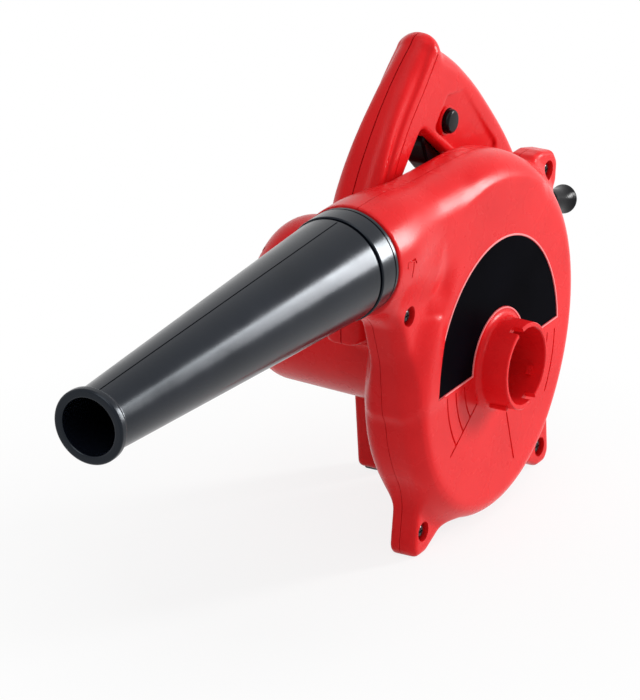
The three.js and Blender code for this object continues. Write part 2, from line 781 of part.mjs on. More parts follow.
// ---------- motor ----------
// Everything beyond a height over or under the motor's axis.
const beyond = (half) =>
  join(box(-huge, huge, -huge, huge, half, huge), box(-huge, huge, -huge, huge, -huge, -half));
const bearing = (y) => ringY(boreRadius, bearingRadius, y, y + bearingWidth);
const motorShaft = turnedY([
  [0, 6],
  [shaftRadius - 1.2, 6],
  [shaftRadius, 8],
  [shaftRadius, barrelEndY - wall - 2],
  [0, barrelEndY - wall - 2],
]);
const armatureY0 = statorY0 + 2;
const armatureY1 = armatureY0 + armatureLength;
const slots = 12;
const armatureCore = cut(
  ringY(boreRadius, armatureRadius, armatureY0, armatureY1, 36),
  ...Array.from({ length: slots }, (_, k) => {
    const slot = new THREE.BoxGeometry(9, armatureLength + 2, 2).translate(armatureRadius - 3, (armatureY0 + armatureY1) / 2, 0);
    return solid(slot.rotateY((k / slots) * 2 * Math.PI));
  }),
);
const coilHead = (y0, y1) =>
  turnedY(
    [
      [shaftRadius + 1.5, y0],
      [armatureRadius - 6, y0],
      [armatureRadius - 2, (y0 + y1) / 2],
      [armatureRadius - 5, y1],
      [shaftRadius + 1.5, y1],
      [shaftRadius + 1.5, y0],
    ],
    24,
  );
const coilDepth = 6;
const commutatorY0 = armatureY1 + coilDepth + 1;
const commutatorY1 = commutatorY0 + 8;
const commutator = ringY(boreRadius, commutatorRadius, commutatorY0, commutatorY1);

const poleGap = 17;
const yokeThickness = 6;
const statorCore = cut(
  ringY(armatureRadius + airGap, statorRadius, statorY0, statorY1, 36),
  box(-huge, huge, 0, huge, -poleGap, poleGap).intersect(
    rodY(statorRadius - yokeThickness, statorY0 - 1, statorY1 + 1, 36),
  ),
);
const fieldCoil = (side) => {
  const band = ringY(armatureRadius + airGap + 1.5, statorRadius - 4.5, statorY0 - 5, statorY1 + 3);
  const pole = cut(band, box(-huge, huge, -huge, huge, side > 0 ? -huge : -poleGap + 2.5, side > 0 ? poleGap - 2.5 : huge));
  const core = ringY(armatureRadius, statorRadius + 1, statorY0 - gap, statorY1 + gap);
  return cut(pole, statorCore, core.intersect(beyond(poleGap - gap)));
};

const bridgeRadius = 26.5;
const bridgeArm = 8; // half the height of the arms that carry the brush holders
const brushLength = 13;
const brushHalf = { y: 2.4, z: 3.2 };
const holderWall = 0.9;
function alongX(side, x0, x1, halfY, halfZ) {
  const [a, b] = side > 0 ? [x0, x1] : [-x1, -x0];
  return box(a, b, (commutatorY0 + commutatorY1) / 2 - halfY, (commutatorY0 + commutatorY1) / 2 + halfY, -halfZ, halfZ);
}
const carbonBrush = (side) =>
  alongX(side, commutatorRadius + 0.4, commutatorRadius + brushLength, brushHalf.y, brushHalf.z);
const holderHalf = { y: brushHalf.y + gap + holderWall, z: brushHalf.z + gap + holderWall };
const brushHolder = (side) =>
  cut(
    alongX(side, commutatorRadius + 2, commutatorRadius + brushLength + 6, holderHalf.y, holderHalf.z),
    alongX(side, 0, commutatorRadius + brushLength + 4, brushHalf.y + gap, brushHalf.z + gap),
  );
const brushBridge = cut(
  ringY(commutatorRadius + 4, bridgeRadius, commutatorY0, commutatorY1 + 1.5),
  ringY(commutatorRadius + 8, bridgeRadius - 3, commutatorY0 - 3, commutatorY1 + 3).intersect(beyond(bridgeArm)),
  ...[1, -1].map((side) =>
    alongX(side, 0, commutatorRadius + brushLength + 6 + gap, holderHalf.y + gap, holderHalf.z + gap),
  ),
);

// ---------- impeller ----------
const impellerBackY = 30;
const vaneInner = 12;
const vaneOuterFront = 20; // the vanes' front edge runs back towards the rim
const hubRadius = 11;
const hubFront = 15;
const vaneSweep = degrees(58);
const vane = (turn) => {
  const steps = 4;
  const side = (offset, order) =>
    Array.from({ length: steps + 1 }, (_, k) => {
      const share = order ? k / steps : 1 - k / steps;
      const radius = THREE.MathUtils.lerp(vaneInner - 3, impellerRadius, share);
      const angle = turn - vaneSweep * share + offset / radius;
      return vec2(radius * Math.cos(angle), radius * Math.sin(angle));
    });
  return plate([...side(-vaneThickness / 2, true), ...side(vaneThickness / 2, false)], 5, impellerBackY - 1);
};
const vaneEnvelope = turnedY(
  [[0, 12], [22, 12], [impellerRadius - 0.5, vaneOuterFront], [impellerRadius - 0.5, impellerBackY], [0, impellerBackY]],
  48,
);
const impeller = cut(
  join(
    rodY(impellerRadius, impellerBackY - 2.4, impellerBackY, 48),
    turnedY([[0, hubFront], [hubRadius - 3, hubFront], [hubRadius, hubFront + 7], [hubRadius + 2, impellerBackY - 1], [0, impellerBackY - 1]]),
    join(...Array.from({ length: vaneCount }, (_, k) => vane((k / vaneCount) * 2 * Math.PI))).intersect(vaneEnvelope),
  ),
  rodY(boreRadius, 0, 60),
);
const impellerNut = cut(rodY(6.4, hubFront - 5, hubFront - gap, 6), rodY(boreRadius, 0, 60));
const shaftCollar = ringY(boreRadius, shaftCollarRadius, impellerBackY + gap, frontBearingY - 0.5);

// ---------- materials ----------
const finish = (color, roughness, metalness = 0) => new THREE.MeshStandardMaterial({ color, roughness, metalness });
const red = finish(0xd8202a, 0.42);
const black = finish(0x121316, 0.28);
const labelBlack = finish(0x060607, 0.5);
const rubber = finish(0x17181a, 0.7);
const steel = finish(0x9a9ca0, 0.35, 0.9);
const copper = finish(0xb4672f, 0.4, 0.9);
const laminated = finish(0x5b5e63, 0.55, 0.8);
const carbon = finish(0x2a2a2c, 0.8);
const brass = finish(0xb08d3c, 0.4, 0.9);
const nylon = finish(0xe6e2d6, 0.5);

// ---------- the assembly ----------
const blower = new THREE.Group();
function part(name, made, material) {
  const mesh = new THREE.Mesh(geometryOf(made), material);
  mesh.name = name;
  blower.add(mesh);
}
part("nozzle", nozzle, black);
part("fan_cover", fanCover, red);
part("main_housing", mainHousing, red);
part("rear_housing", rearHousing, red);
part("intake_label", intakeLabel, labelBlack);
part("foot_pad", footPad, rubber);
part("cord_boot", cordBoot, rubber);
part("trigger", trigger, black);
part("trigger_switch", triggerSwitch, black);
part("lock_button", lockButton, black);
part("impeller", impeller, nylon);
part("impeller_nut", impellerNut, steel);
part("shaft_collar", shaftCollar, brass);
part("motor_shaft", motorShaft, steel);
part("front_bearing", bearing(frontBearingY), steel);
part("rear_bearing", bearing(rearBearingY), steel);
part("armature_core", armatureCore, laminated);
part("armature_coil_front", coilHead(armatureY0 - coilDepth, armatureY0 - gap), copper);
part("armature_coil_rear", coilHead(armatureY1 + gap, armatureY1 + coilDepth), copper);
part("commutator", commutator, copper);
part("stator_core", statorCore, laminated);
part("field_coil_top", fieldCoil(1), copper);
part("field_coil_bottom", fieldCoil(-1), copper);
part("brush_bridge", brushBridge, nylon);
for (const [name, side] of [["left", -1], ["right", 1]]) {
  part("brush_holder_" + name, brushHolder(side), brass);
  part("carbon_brush_" + name, carbonBrush(side), carbon);
}
coverScrews.forEach(({ x, y, z, length }, i) => part("cover_screw_" + (i + 1), screw(x, y, z, length), steel));
housingScrews.forEach(({ x, y, z }, i) =>
  part("housing_screw_" + (i + 1), screw(x, y, z, housingScrewLength - 1, true), steel),
);

// The blower stands on the middle of its underside.
const bounds = new THREE.Box3().setFromObject(blower);
const middle = bounds.getCenter(new THREE.Vector3());
blower.position.set(-middle.x, -middle.y, -bounds.min.z);

const root = new THREE.Group();
root.add(blower);
export default root;
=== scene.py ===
import math
import bpy
import bmesh
import numpy as np
from mathutils import Matrix, Vector


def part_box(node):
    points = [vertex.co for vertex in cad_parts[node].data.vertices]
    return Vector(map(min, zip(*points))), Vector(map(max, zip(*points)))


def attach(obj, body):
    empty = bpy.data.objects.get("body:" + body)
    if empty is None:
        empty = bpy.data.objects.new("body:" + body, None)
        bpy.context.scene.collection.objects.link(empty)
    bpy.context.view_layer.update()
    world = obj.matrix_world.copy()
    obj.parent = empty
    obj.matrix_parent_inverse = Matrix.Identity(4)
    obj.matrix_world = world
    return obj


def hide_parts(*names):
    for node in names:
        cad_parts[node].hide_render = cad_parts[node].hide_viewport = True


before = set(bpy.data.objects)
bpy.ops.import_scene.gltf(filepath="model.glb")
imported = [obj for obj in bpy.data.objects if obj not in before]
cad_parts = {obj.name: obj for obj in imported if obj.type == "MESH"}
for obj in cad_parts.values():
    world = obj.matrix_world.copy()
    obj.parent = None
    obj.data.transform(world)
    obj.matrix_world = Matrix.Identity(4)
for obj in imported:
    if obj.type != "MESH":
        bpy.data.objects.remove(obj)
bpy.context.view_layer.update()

# Shapes are drawn in millimetres about the fan's axis: the fan cover's face is at y = 0.
collarLength = 17  # the intake collar stands this far out of the face
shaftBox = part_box("motor_shaft")
fanAxis = Vector((
    (shaftBox[0].x + shaftBox[1].x) / 2,
    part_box("fan_cover")[0].y + collarLength / 1000,
    (shaftBox[0].z + shaftBox[1].z) / 2,
))
toWorld = Matrix.Translation(fanAxis) @ Matrix.Scale(0.001, 4)
scene = bpy.context.scene


# Plain meshes and what cuts and joins them.
def makeObject(name, points, faces):
    mesh = bpy.data.meshes.new(name)
    mesh.from_pydata([tuple(map(float, p)) for p in points], [], faces)
    form = bmesh.new()
    form.from_mesh(mesh)
    bmesh.ops.remove_doubles(form, verts=form.verts, dist=1e-4)
    bmesh.ops.recalc_face_normals(form, faces=form.faces)
    form.to_mesh(mesh)
    form.free()
    made = bpy.data.objects.new(name, mesh)
    scene.collection.objects.link(made)
    return made


def bakeModifiers(made):
    bpy.context.view_layer.update()
    evaluated = made.evaluated_get(bpy.context.evaluated_depsgraph_get())
    mesh = bpy.data.meshes.new_from_object(evaluated)
    made.modifiers.clear()
    made.data = mesh
    return made


def combine(base, operation, *tools):
    for tool in tools:
        change = base.modifiers.new("combine", "BOOLEAN")
        change.operation, change.solver, change.object = operation, "MANIFOLD", tool
    bakeModifiers(base)
    for tool in tools:
        bpy.data.objects.remove(tool)
    return base


def copyOf(made, name="copy"):
    twin = bpy.data.objects.new(name, made.data.copy())
    scene.collection.objects.link(twin)
    return twin


def block(x0, x1, y0, y1, z0, z1):
    corners = [(x, y, z) for x in (x0, x1) for y in (y0, y1) for z in (z0, z1)]
    sides = [(0, 1, 3, 2), (4, 6, 7, 5), (0, 4, 5, 1), (2, 3, 7, 6), (0, 2, 6, 4), (1, 5, 7, 3)]
    return makeObject("block", corners, sides)


def keepBetween(made, y0, y1):
    reach = 700
    return combine(made, "INTERSECT", block(-reach, reach, y0, y1, -reach, reach))


# Turned about the fan's axis: 0 degrees is along +X and 90 along +Z.
def turnedTo(made, degrees):
    made.data.transform(Matrix.Rotation(math.radians(-degrees), 4, "Y"))
    return made


# Rings of as many points each, joined by quads and closed by a face at each end.
def skin(name, rings):
    count = len(rings[0])
    faces = [tuple(range(count))[::-1], tuple(range((len(rings) - 1) * count, len(rings) * count))]
    for k in range(len(rings) - 1):
        for i in range(count):
            j = (i + 1) % count
            faces.append((k * count + i, k * count + j, (k + 1) * count + j, (k + 1) * count + i))
    return makeObject(name, [p for ring in rings for p in ring], faces)


# A closed profile of [radius, distance] turned about the Y axis, or about another axis by place.
def lathe(name, profile, segments=96, place=None):
    count = len(profile)
    points, faces = [], []
    for s in range(segments):
        turn = 2 * math.pi * s / segments
        points += [(r * math.cos(turn), y, r * math.sin(turn)) for r, y in profile]
    for s in range(segments):
        for i in range(count):
            j, t = (i + 1) % count, (s + 1) % segments
            corners = [s * count + i, s * count + j, t * count + j, t * count + i]
            if profile[i][0] < 1e-6 and profile[j][0] < 1e-6:
                continue
            if profile[i][0] < 1e-6:
                corners = [s * count + i, s * count + j, t * count + j]
            elif profile[j][0] < 1e-6:
                corners = [s * count + i, s * count + j, t * count + i]
            faces.append(tuple(corners))
    made = makeObject(name, points, faces)
    if place:
        made.data.transform(place)
    return made


# Points on an arc, angles in degrees.
def arc(x, y, radius, start, end, steps=6):
    turns = [math.radians(start + (end - start) * k / steps) for k in range(steps + 1)]
    return [(x + radius * math.cos(t), y + radius * math.sin(t)) for t in turns]


# A closed outline of [x, z, radius] corners.
def roundedOutline(corners, steps=8):
    points = []
    for i, (x, z, radius) in enumerate(corners):
        here = Vector((x, z))
        before = Vector(corners[i - 1][:2])
        after = Vector(corners[(i + 1) % len(corners)][:2])
        if not radius:
            points.append(here)
            continue
        back, ahead = (before - here).normalized(), (after - here).normalized()
        half = back.angle(ahead) / 2
        reach = min(radius / math.tan(half), (before - here).length / 2, (after - here).length / 2)
        start, end = here + back * reach, here + ahead * reach
        for k in range(steps + 1):
            t = k / steps
            points.append(start * (1 - t) ** 2 + here * 2 * t * (1 - t) + end * t * t)
    return [tuple(p) for p in points]


# An anticlockwise outline moved inwards by d.
def inset(outline, d):
    points = [Vector(p) for p in outline]
    moved = []
    for i, here in enumerate(points):
        a, b = (here - points[i - 1]).normalized(), (points[(i + 1) % len(points)] - here).normalized()
        normals = Vector((a.y, -a.x)), Vector((b.y, -b.x))
        mean = (normals[0] + normals[1]).normalized()
        moved.append(here - mean * (d / max(0.4, mean.dot(normals[0]))))
    return [tuple(p) for p in moved]


def anticlockwise(outline):
    area = sum(a[0] * b[1] - b[0] * a[1] for a, b in zip(outline, outline[1:] + outline[:1]))
    return outline if area > 0 else outline[::-1]


# An outline in X and Z carried from y0 to y1; front and back are the radii of its edges.
def plate(name, outline, y0, y1, front=0, back=0, steps=5):
    base = anticlockwise([tuple(p) for p in outline])
    levels = []
    for radius, start, sign in ((front, y0, 1), (back, y1, -1)):
        turns = [math.pi / 2 * k / steps for k in range(steps + 1)] if radius else [math.pi / 2]
        part = [(radius * (1 - math.sin(t)), start + sign * radius * (1 - math.cos(t))) for t in turns]
        levels += part if sign > 0 else part[::-1]
    rings = [[(x, y, z) for x, z in inset(base, d)] for d, y in levels]
    return skin(name, rings)


# A smooth line through points.
def spline(points, count):
    ends = [points[0], *points, points[-1]]
    spans = len(points) - 1
    line = []
    for k in range(count + 1):
        at = min(k / count * spans, spans - 1e-6)
        i, t = int(at), at - int(at)
        p = [Vector(ends[i + j]) for j in range(4)]
        line.append(tuple(0.5 * (2 * p[1] + (p[2] - p[0]) * t + (2 * p[0] - 5 * p[1] + 4 * p[2] - p[3]) * t ** 2
                                 + (3 * p[1] - p[0] - 3 * p[2] + p[3]) * t ** 3)))
    return line


# The moulded bodies are drawn as distances on a grid: below 0 is inside.
def grid(low, high, step):
    axes = [np.arange(a, b + step, step, dtype=np.float32) for a, b in zip(low, high)]
    x, y, z = axes[0][:, None, None], axes[1][None, :, None], axes[2][None, None, :]
    return x, y, z


def outlineDistance(outline, x, z):
    flatX, flatZ = np.broadcast_arrays(x, z)
    nearest = np.full(flatX.shape, 1e9, np.float32)
    inside = np.zeros(flatX.shape, bool)
    for (ax, az), (bx, bz) in zip(outline, outline[1:] + outline[:1]):
        ex, ez = bx - ax, bz - az
        if ex * ex + ez * ez < 1e-9:
            continue
        wx, wz = flatX - ax, flatZ - az
        t = np.clip((wx * ex + wz * ez) / (ex * ex + ez * ez), 0, 1)
        nearest = np.minimum(nearest, (wx - ex * t) ** 2 + (wz - ez * t) ** 2)
        if az != bz:
            inside ^= ((az > flatZ) != (bz > flatZ)) & (flatX < ex * (flatZ - az) / ez + ax)
    return np.where(inside, -1, 1) * np.sqrt(nearest)


# Where two shapes meet, where they blend into one, and a flat shape given its thickness.
def meet(a, b, radius):
    if np.max(radius) <= 0:
        return np.maximum(a, b)
    return np.minimum(-radius, np.maximum(a, b)) + np.hypot(np.maximum(radius + a, 0), np.maximum(radius + b, 0))


def blend(a, b, radius):
    return -meet(-a, -b, radius)


def slab(flat, y, y0, y1, front, back):
    return meet(meet(flat, y0 - y, front), y - y1, back)


def between(a, b, share):
    return a + (b - a) * share


# The skin where the field is zero, as quads.
def surface(name, field, low, step):
    inside = field < 0
    shape = [n - 1 for n in field.shape]
    steps = [(a, b, c) for a in (0, 1) for b in (0, 1) for c in (0, 1)]
    count = sum(inside[a:shape[0] + a, b:shape[1] + b, c:shape[2] + c].astype(np.int8) for a, b, c in steps)
    active = (count > 0) & (count < 8)
    cells = np.argwhere(active)
    index = np.full(active.shape, -1, np.int64)
    index[active] = np.arange(len(cells))
    total, hits = np.zeros((len(cells), 3)), np.zeros(len(cells))
    for corner in steps:
        for axis in range(3):
            if corner[axis]:
                continue
            p = cells + corner
            q = p.copy()
            q[:, axis] += 1
            fp, fq = field[tuple(p.T)], field[tuple(q.T)]
            crosses = (fp < 0) != (fq < 0)
            at = p.astype(float)
            at[:, axis] += np.where(crosses, fp / np.where(crosses, fp - fq, 1), 0)
            total[crosses] += at[crosses]
            hits[crosses] += 1
    points = total / hits[:, None]
    quads = []
    for axis in range(3):
        u, v = (axis + 1) % 3, (axis + 2) % 3
        first = [slice(None)] * 3
        second = [slice(None)] * 3
        first[axis], second[axis] = slice(0, -1), slice(1, None)
        changes = np.argwhere(inside[tuple(first)] != inside[tuple(second)])
        changes = changes[(changes[:, u] > 0) & (changes[:, v] > 0)]
        changes = changes[(changes[:, u] < shape[u]) & (changes[:, v] < shape[v])]
        corners = []
        for du, dv in ((0, 0), (1, 0), (1, 1), (0, 1)):
            q = changes.copy()
            q[:, u] -= du
            q[:, v] -= dv
            corners.append(index[tuple(q.T)])
        faces = np.stack(corners, 1)
        out = inside[tuple(changes.T)]
        faces[~out] = faces[~out][:, ::-1]
        quads.append(faces)
    quads = np.concatenate(quads)
    mesh = bpy.data.meshes.new(name)
    mesh.from_pydata([tuple(p) for p in points * step + np.array(low)], [], quads.tolist())
    made = bpy.data.objects.new(name, mesh)
    scene.collection.objects.link(made)
    calm = made.modifiers.new("calm", "SMOOTH")
    calm.factor, calm.iterations = 0.5, 4
    return bakeModifiers(made)


# The scroll and its outlet.
scroll = {"radius": 86, "rise": 24, "width": 36, "seamY": 20, "seam": 0.15, "frontFillet": 11, "backFillet": 10,
          "riseFrom": -40, "riseTop": 95, "riseEnd": 142, "wall": 2.8, "step": 1.05}
# The straight duct leaves the scroll flush with its face and turns into the nozzle's round at its end.
outlet = {"y": 24, "z": 90, "radius": 28.6, "endX": -112, "roundX": -100, "flatX": -56, "topFillet": 21,
          "top": [(-120, 117.4), (-96, 117), (-73, 115.4), (-40, 114), (-12, 112.8), (8, 110.8), (24, 107.4), (38, 102),
                  (50, 94.5), (60, 84)],
          "low": [(-120, 61.4), (-40, 58), (20, 40), (50, 56)]}


def smooth(t, a, b):
    s = np.clip((t - a) / (b - a), 0, 1)
    return s * s * (3 - 2 * s)


def scrollRadius(degrees):
    up = smooth(degrees, scroll["riseFrom"], scroll["riseTop"])
    down = smooth(degrees, scroll["riseTop"], scroll["riseEnd"])
    return scroll["radius"] + scroll["rise"] * up * (1 - down)


def scrollOutline(steps=180):
    turns = [360 * k / steps - 180 for k in range(steps)]
    radii = [scrollRadius(t) for t in turns]
    return [(r * math.cos(math.radians(t)), r * math.sin(math.radians(t))) for t, r in zip(turns, radii)]


def scrollField(x, y, z):
    s, o = scroll, outlet
    duct = o["low"] + spline(o["top"], 36)[::-1]
    flat = blend(outlineDistance(scrollOutline(), x, z), outlineDistance(duct, x, z), 3)
    front = between(s["frontFillet"], o["topFillet"], smooth(z, 25, 92) * smooth(x, 95, 20))
    wheel = slab(flat, y, 0, s["width"], front, s["backFillet"])
    tube = np.hypot(y - o["y"], z - o["z"]) - o["radius"]
    share = np.maximum(smooth(x, o["roundX"], o["flatX"]), smooth(z, 61, 45))
    return between(tube, wheel, share)


legs = {
    "left": {"outline": [(-66, -46, 0), (-72.5, -84, 6), (-68.9, -89, 5), (-58.9, -89, 6), (-34, -78, 0),
                         (-30, -50, 0)],
             "front": 11, "edge": 3, "blend": 8, "screw": (-62.4, -76)},
    "right": {"outline": [(78, -40, 0), (80.5, -84, 6), (76.5, -89, 5), (67, -89, 6), (50, -80, 0), (40, -50, 0)],
              "front": 11, "edge": 3, "blend": 8, "screw": (69, -78)},
    "ear": {"outline": [(50, 76, 0), (62.5, 92, 4), (72, 92, 6), (85, 88.5, 6), (89.5, 81.5, 5), (88, 70, 7),
                        (72, 52, 0)],
            "front": 11, "edge": 3, "blend": 8, "screw": (77.5, 79.5)},
    "web": {"outline": [(-110, 84, 0), (-108, 64, 4), (-98, 50, 10), (-91, 28, 14), (-86, 0, 0), (-60, 0, 0),
                        (-60, 84, 0)],
            "front": 4, "edge": 8, "blend": 10, "screw": (-88, 55)},
}
legBack = {"y": 26, "edge": 1.5}


def scrollFields():
    s = scroll
    low, high = (-120, -8, -94), (112, 58, 124)
    x, y, z = grid(low, high, s["step"])
    body = scrollField(x, y, z)
    hollow = np.maximum(body + s["wall"], -118 - x)
    for leg in legs.values():
        flat = outlineDistance(roundedOutline(leg["outline"]), x, z)
        body = blend(body, slab(flat, y, leg["front"], legBack["y"], leg["edge"], legBack["edge"]), leg["blend"])
    body = np.maximum(body, outlet["endX"] - x)
    return body, hollow, low, s["step"]


body, hollow, gridLow, gridStep = scrollFields()
scrollBody = surface("scroll_body", body, gridLow, gridStep)
scrollRoom = surface("scroll_room", hollow[::2, ::2, ::2], gridLow, gridStep * 2)  # hidden, so half as fine
del body, hollow
print("scroll body", len(scrollBody.data.polygons))


# The motor barrel, the loop handle behind the scroll, and the rear foot.
barrel = {"radius": 47.5, "rise": 14.5, "endY": 135, "endFillet": 20, "taper": 2.5, "wall": 2.8, "frontY": 33.2}
handle = {"y": 50, "half": 14.5, "fillet": 11, "panelHalf": 12, "panelFillet": 6, "coreHalf": 9.7, "coreFillet": 5,
          "room": 7.8, "step": 1.05, "seam": 0.3, "tip": (5, 160.5, 10.5), "tipFrom": 125, "tipTo": 160,
          "front": [(-78, 28), (-77, 62), (-70, 93), (-58, 114.5), (-41, 135), (-25.6, 150), (-11, 161.5),
                    (-2.5, 167.2)],
          "rear": [(17, 160.5), (35, 147.5), (59, 123), (81, 98), (97, 76), (112, 56), (121, 42), (124, 32)],
          "heel": [(123, 20), (117, 9), (105, 2), (80, -5), (40, -8), (0, 0)],
          "finger": [(-12, 126, 5), (-42, 96, 40), (-50, 66, 10), (0, 62, 30), (58, 46, 12), (74, 55, 9)]}
tipX, tipZ, tipRadius = handle["tip"]
handleOutline = anticlockwise(
    spline(handle["front"], 40) + arc(tipX, tipZ, tipRadius, 120, 20, 14) + spline(handle["rear"], 60) + handle["heel"])
fingerHole = roundedOutline(handle["finger"])

# The round bar along the front of the handle; a groove parts it from the flatter panel.
bar = {"edge": [(5, 169.5), (1.5, 165.5), (-3, 161), (-14.5, 149.5), (-29, 136), (-41, 121), (-50, 106), (-55.5, 90),
                (-57, 70), (-57, 50)],
       "groove": 1.2, "inner": 7.5, "panelEdge": 2, "lineFrom": 5.2, "lineTo": 6, "lineDepth": 0.7}
barEdge = spline(bar["edge"], 40)
barRegion = [(-110, 20), (-110, 190), (20, 190), (8, 174)] + barEdge + [(-57, 20)]

# The pocket's floor tilts from its deep end, beside the trigger, to the shallow one.
pocket = {"corners": [(1.5, 121.5, 3), (16, 136, 6), (33, 134, 6), (70, 93, 6), (58, 77, 3)],
          "start": (-2, 118.5), "along": (0.645, 0.764), "length": 33, "deep": 42.6, "shallow": 38.6, "edge": 0.6}
foot = {"x": 23, "width": 24, "y": 88, "depth": 15, "bottom": -87, "top": -21, "taper": 5,
        "padTop": -55, "padBottom": -89, "padFront": 8.7, "padBack": 4.7, "padWall": 2.8}


def footSide(z):
    f = foot
    return f["x"] - f["width"] / 2 + f["taper"] * (f["top"] - z) / (f["top"] - f["padBottom"])


def motorFields():
    low, high = (-84, 30, -92), (129, 139, 178)
    step = handle["step"]
    x, y, z = grid(low, high, step)
    b, h = barrel, handle
    radius = b["radius"] - b["taper"] * np.clip((y - h["y"]) / (b["endY"] - b["endFillet"] - h["y"]), 0, 1)
    body = meet(np.hypot(x, z - b["rise"]) - radius, y - b["endY"], b["endFillet"])
    body = np.maximum(body, b["frontY"] - y)
    flat = outlineDistance(handleOutline, x, z)
    hole = outlineDistance(fingerHole, x, z)
    edge = outlineDistance(barRegion, x, z)
    tipShare = smooth(z, h["tipFrom"], h["tipTo"])

    def around(half, fillet, more):
        rounding = fillet + more * tipShare
        return slab(flat, y, h["y"] - half, h["y"] + half, rounding, rounding)

    panel = meet(around(h["panelHalf"], h["panelFillet"], 5), -edge, bar["panelEdge"])
    frontBar = meet(around(h["half"], h["fillet"], 3.4), edge + bar["groove"], bar["inner"])
    loop = blend(blend(around(h["coreHalf"], h["coreFillet"], 4), panel, 0.8), frontBar, 1)
    loop = meet(loop, -hole, 3)
    p = pocket
    down = (x - p["start"][0]) * p["along"][0] + (z - p["start"][1]) * p["along"][1]
    floor = between(p["deep"], p["shallow"], down / p["length"])
    recess = np.maximum(outlineDistance(roundedOutline(p["corners"]), x, z), y - floor)
    loop = meet(loop, -recess, p["edge"])
    body = blend(body, loop, 5)
    f = foot
    column = roundedOutline([(footSide(-10), -10, 0), (footSide(f["bottom"]), f["bottom"], 5),
                             (f["x"] + f["width"] / 2, f["bottom"], 5), (f["x"] + f["width"] / 2, -10, 0)])
    leg = slab(outlineDistance(column, x, z), y, f["y"] - f["depth"] / 2, f["y"] + f["depth"] / 2, 2.5, 2.5)
    return blend(body, leg, 5), low, step


body, gridLow, gridStep = motorFields()
motorBody = surface("motor_body", body, gridLow, gridStep)
del body
print("motor body", len(motorBody.data.polygons))


# The room inside the barrel and the handle.
def motorHollow():
    b, h = barrel, handle
    radius, end = b["radius"] - b["wall"], b["endY"] - b["wall"]
    fillet = b["endFillet"] - b["wall"]
    profile = [(0, scroll["width"]), (radius, scroll["width"]), (radius, h["y"])]
    profile += arc(radius - b["taper"] - fillet, end - fillet, fillet, 0, 90, 8) + [(0, end)]
    drum = lathe("drum", profile, 96, Matrix.Translation((0, 0, b["rise"])))
    inner = plate("inner", inset(handleOutline, b["wall"]), h["y"] - h["room"], h["y"] + h["room"], 3, 3, 2)
    combine(inner, "DIFFERENCE", plate("keep", inset(anticlockwise(fingerHole), -3), 0, 100))
    return combine(drum, "UNION", inner)


screws = {"seat": 4, "headRadius": 4, "headHeight": 2.6, "radius": 2, "bore": 2.15, "pitch": 1.6, "backThickness": 6,
          "coverWell": 5.4, "housingWell": 4.6, "housingY": 55.5, "housingHole": 15,
          "housing": [(3, 151), (-61, 74), (93, 66), (106, 14), (-33.5, -4), (33.5, -4)]}
coverScrews = []
for leg in legs.values():
    seatY = leg["front"] + screws["seat"]
    length = scroll["seamY"] + screws["backThickness"] - seatY - 2
    coverScrews.append((leg["screw"][0], seatY, leg["screw"][1], length))


# A bore for a screw with a wider well for its head, driven along +Y, or along -Y where turned.
def screwHole(x, y, z, length, well, turned=False):
    bore, sign = screws["bore"], -1 if turned else 1
    profile = [(0, -60), (well, -60), (well, 0), (bore, 0), (bore, length), (0, length)]
    return lathe("hole", [(r, sign * d) for r, d in profile], 32, Matrix.Translation((x, y, z)))


def coverScrewHoles():
    return [screwHole(*place, screws["coverWell"]) for place in coverScrews]


def housingScrewHoles():
    s = screws
    return [screwHole(x, s["housingY"], z, s["housingHole"], s["housingWell"], True) for x, z in s["housing"]]


# The fan cover: the seat for its label, fine grooves, an engraved arrow and the intake collar.
label = {"radius": 66.5, "inner": 29.2, "low": 2, "thickness": 0.5, "edge": 0.9, "gap": 0.35}


def labelOutline(grow, steps=64):
    def ring(radius):
        start = math.asin((label["low"] - grow) / radius)
        return [(radius * math.cos(t), radius * math.sin(t))
                for t in (start + (math.pi - 2 * start) * k / steps for k in range(steps + 1))]
    return ring(label["radius"] + grow) + ring(label["inner"] - grow)[::-1]


# Arcs of [radius, start, end] and rays of [turn, start, end] about the axis.
groove = {"depth": 0.9, "width": 1.2,
          "arcs": [(37.5, 182, 213.5), (46.7, 181.5, 213.5), (56, 181, 213.5), (64.5, 325, 356), (56, 344, 356)],
          "rays": [(213.5, 28.5, 63.5), (285.5, 34, 65)]}


def grooves():
    half, depth = groove["width"] / 2, groove["depth"]
    cuts = []
    for r, a, b in groove["arcs"]:
        cuts.append(plate("groove", arc(0, 0, r + half, a, b, 16) + arc(0, 0, r - half, b, a, 16), -1, depth))
    for turn, start, end in groove["rays"]:
        cuts.append(turnedTo(block(start, end, -1, depth, -half, half), turn))
    return cuts


# A small bent arrow engraved beside the nozzle's ring.
arrow = {"width": 1.1, "depth": 0.8, "lines": [[(-104.6, 87.7), (-104.5, 90.9), (-97.3, 90.6), (-95.3, 87.8)],
                                               [(-98.4, 89.6), (-98.4, 85), (-98.5, 80.8)]]}


def arrowCuts():
    o, cuts = outlet, []
    for line in arrow["lines"]:
        rings = []
        for i, (x, z) in enumerate(line):
            ahead = Vector(line[min(i + 1, len(line) - 1)]) - Vector(line[max(i - 1, 0)])
            side = Vector((ahead.y, -ahead.x)).normalized() * arrow["width"] / 2
            skinY = o["y"] - math.sqrt(o["radius"] ** 2 - (z - o["z"]) ** 2)
            rings.append([(x + s * side.x, skinY + d, z + s * side.y)
                          for s, d in ((-1, -2), (1, -2), (1, arrow["depth"]), (-1, arrow["depth"]))])
        cuts.append(skin("arrow", rings))
    return cuts


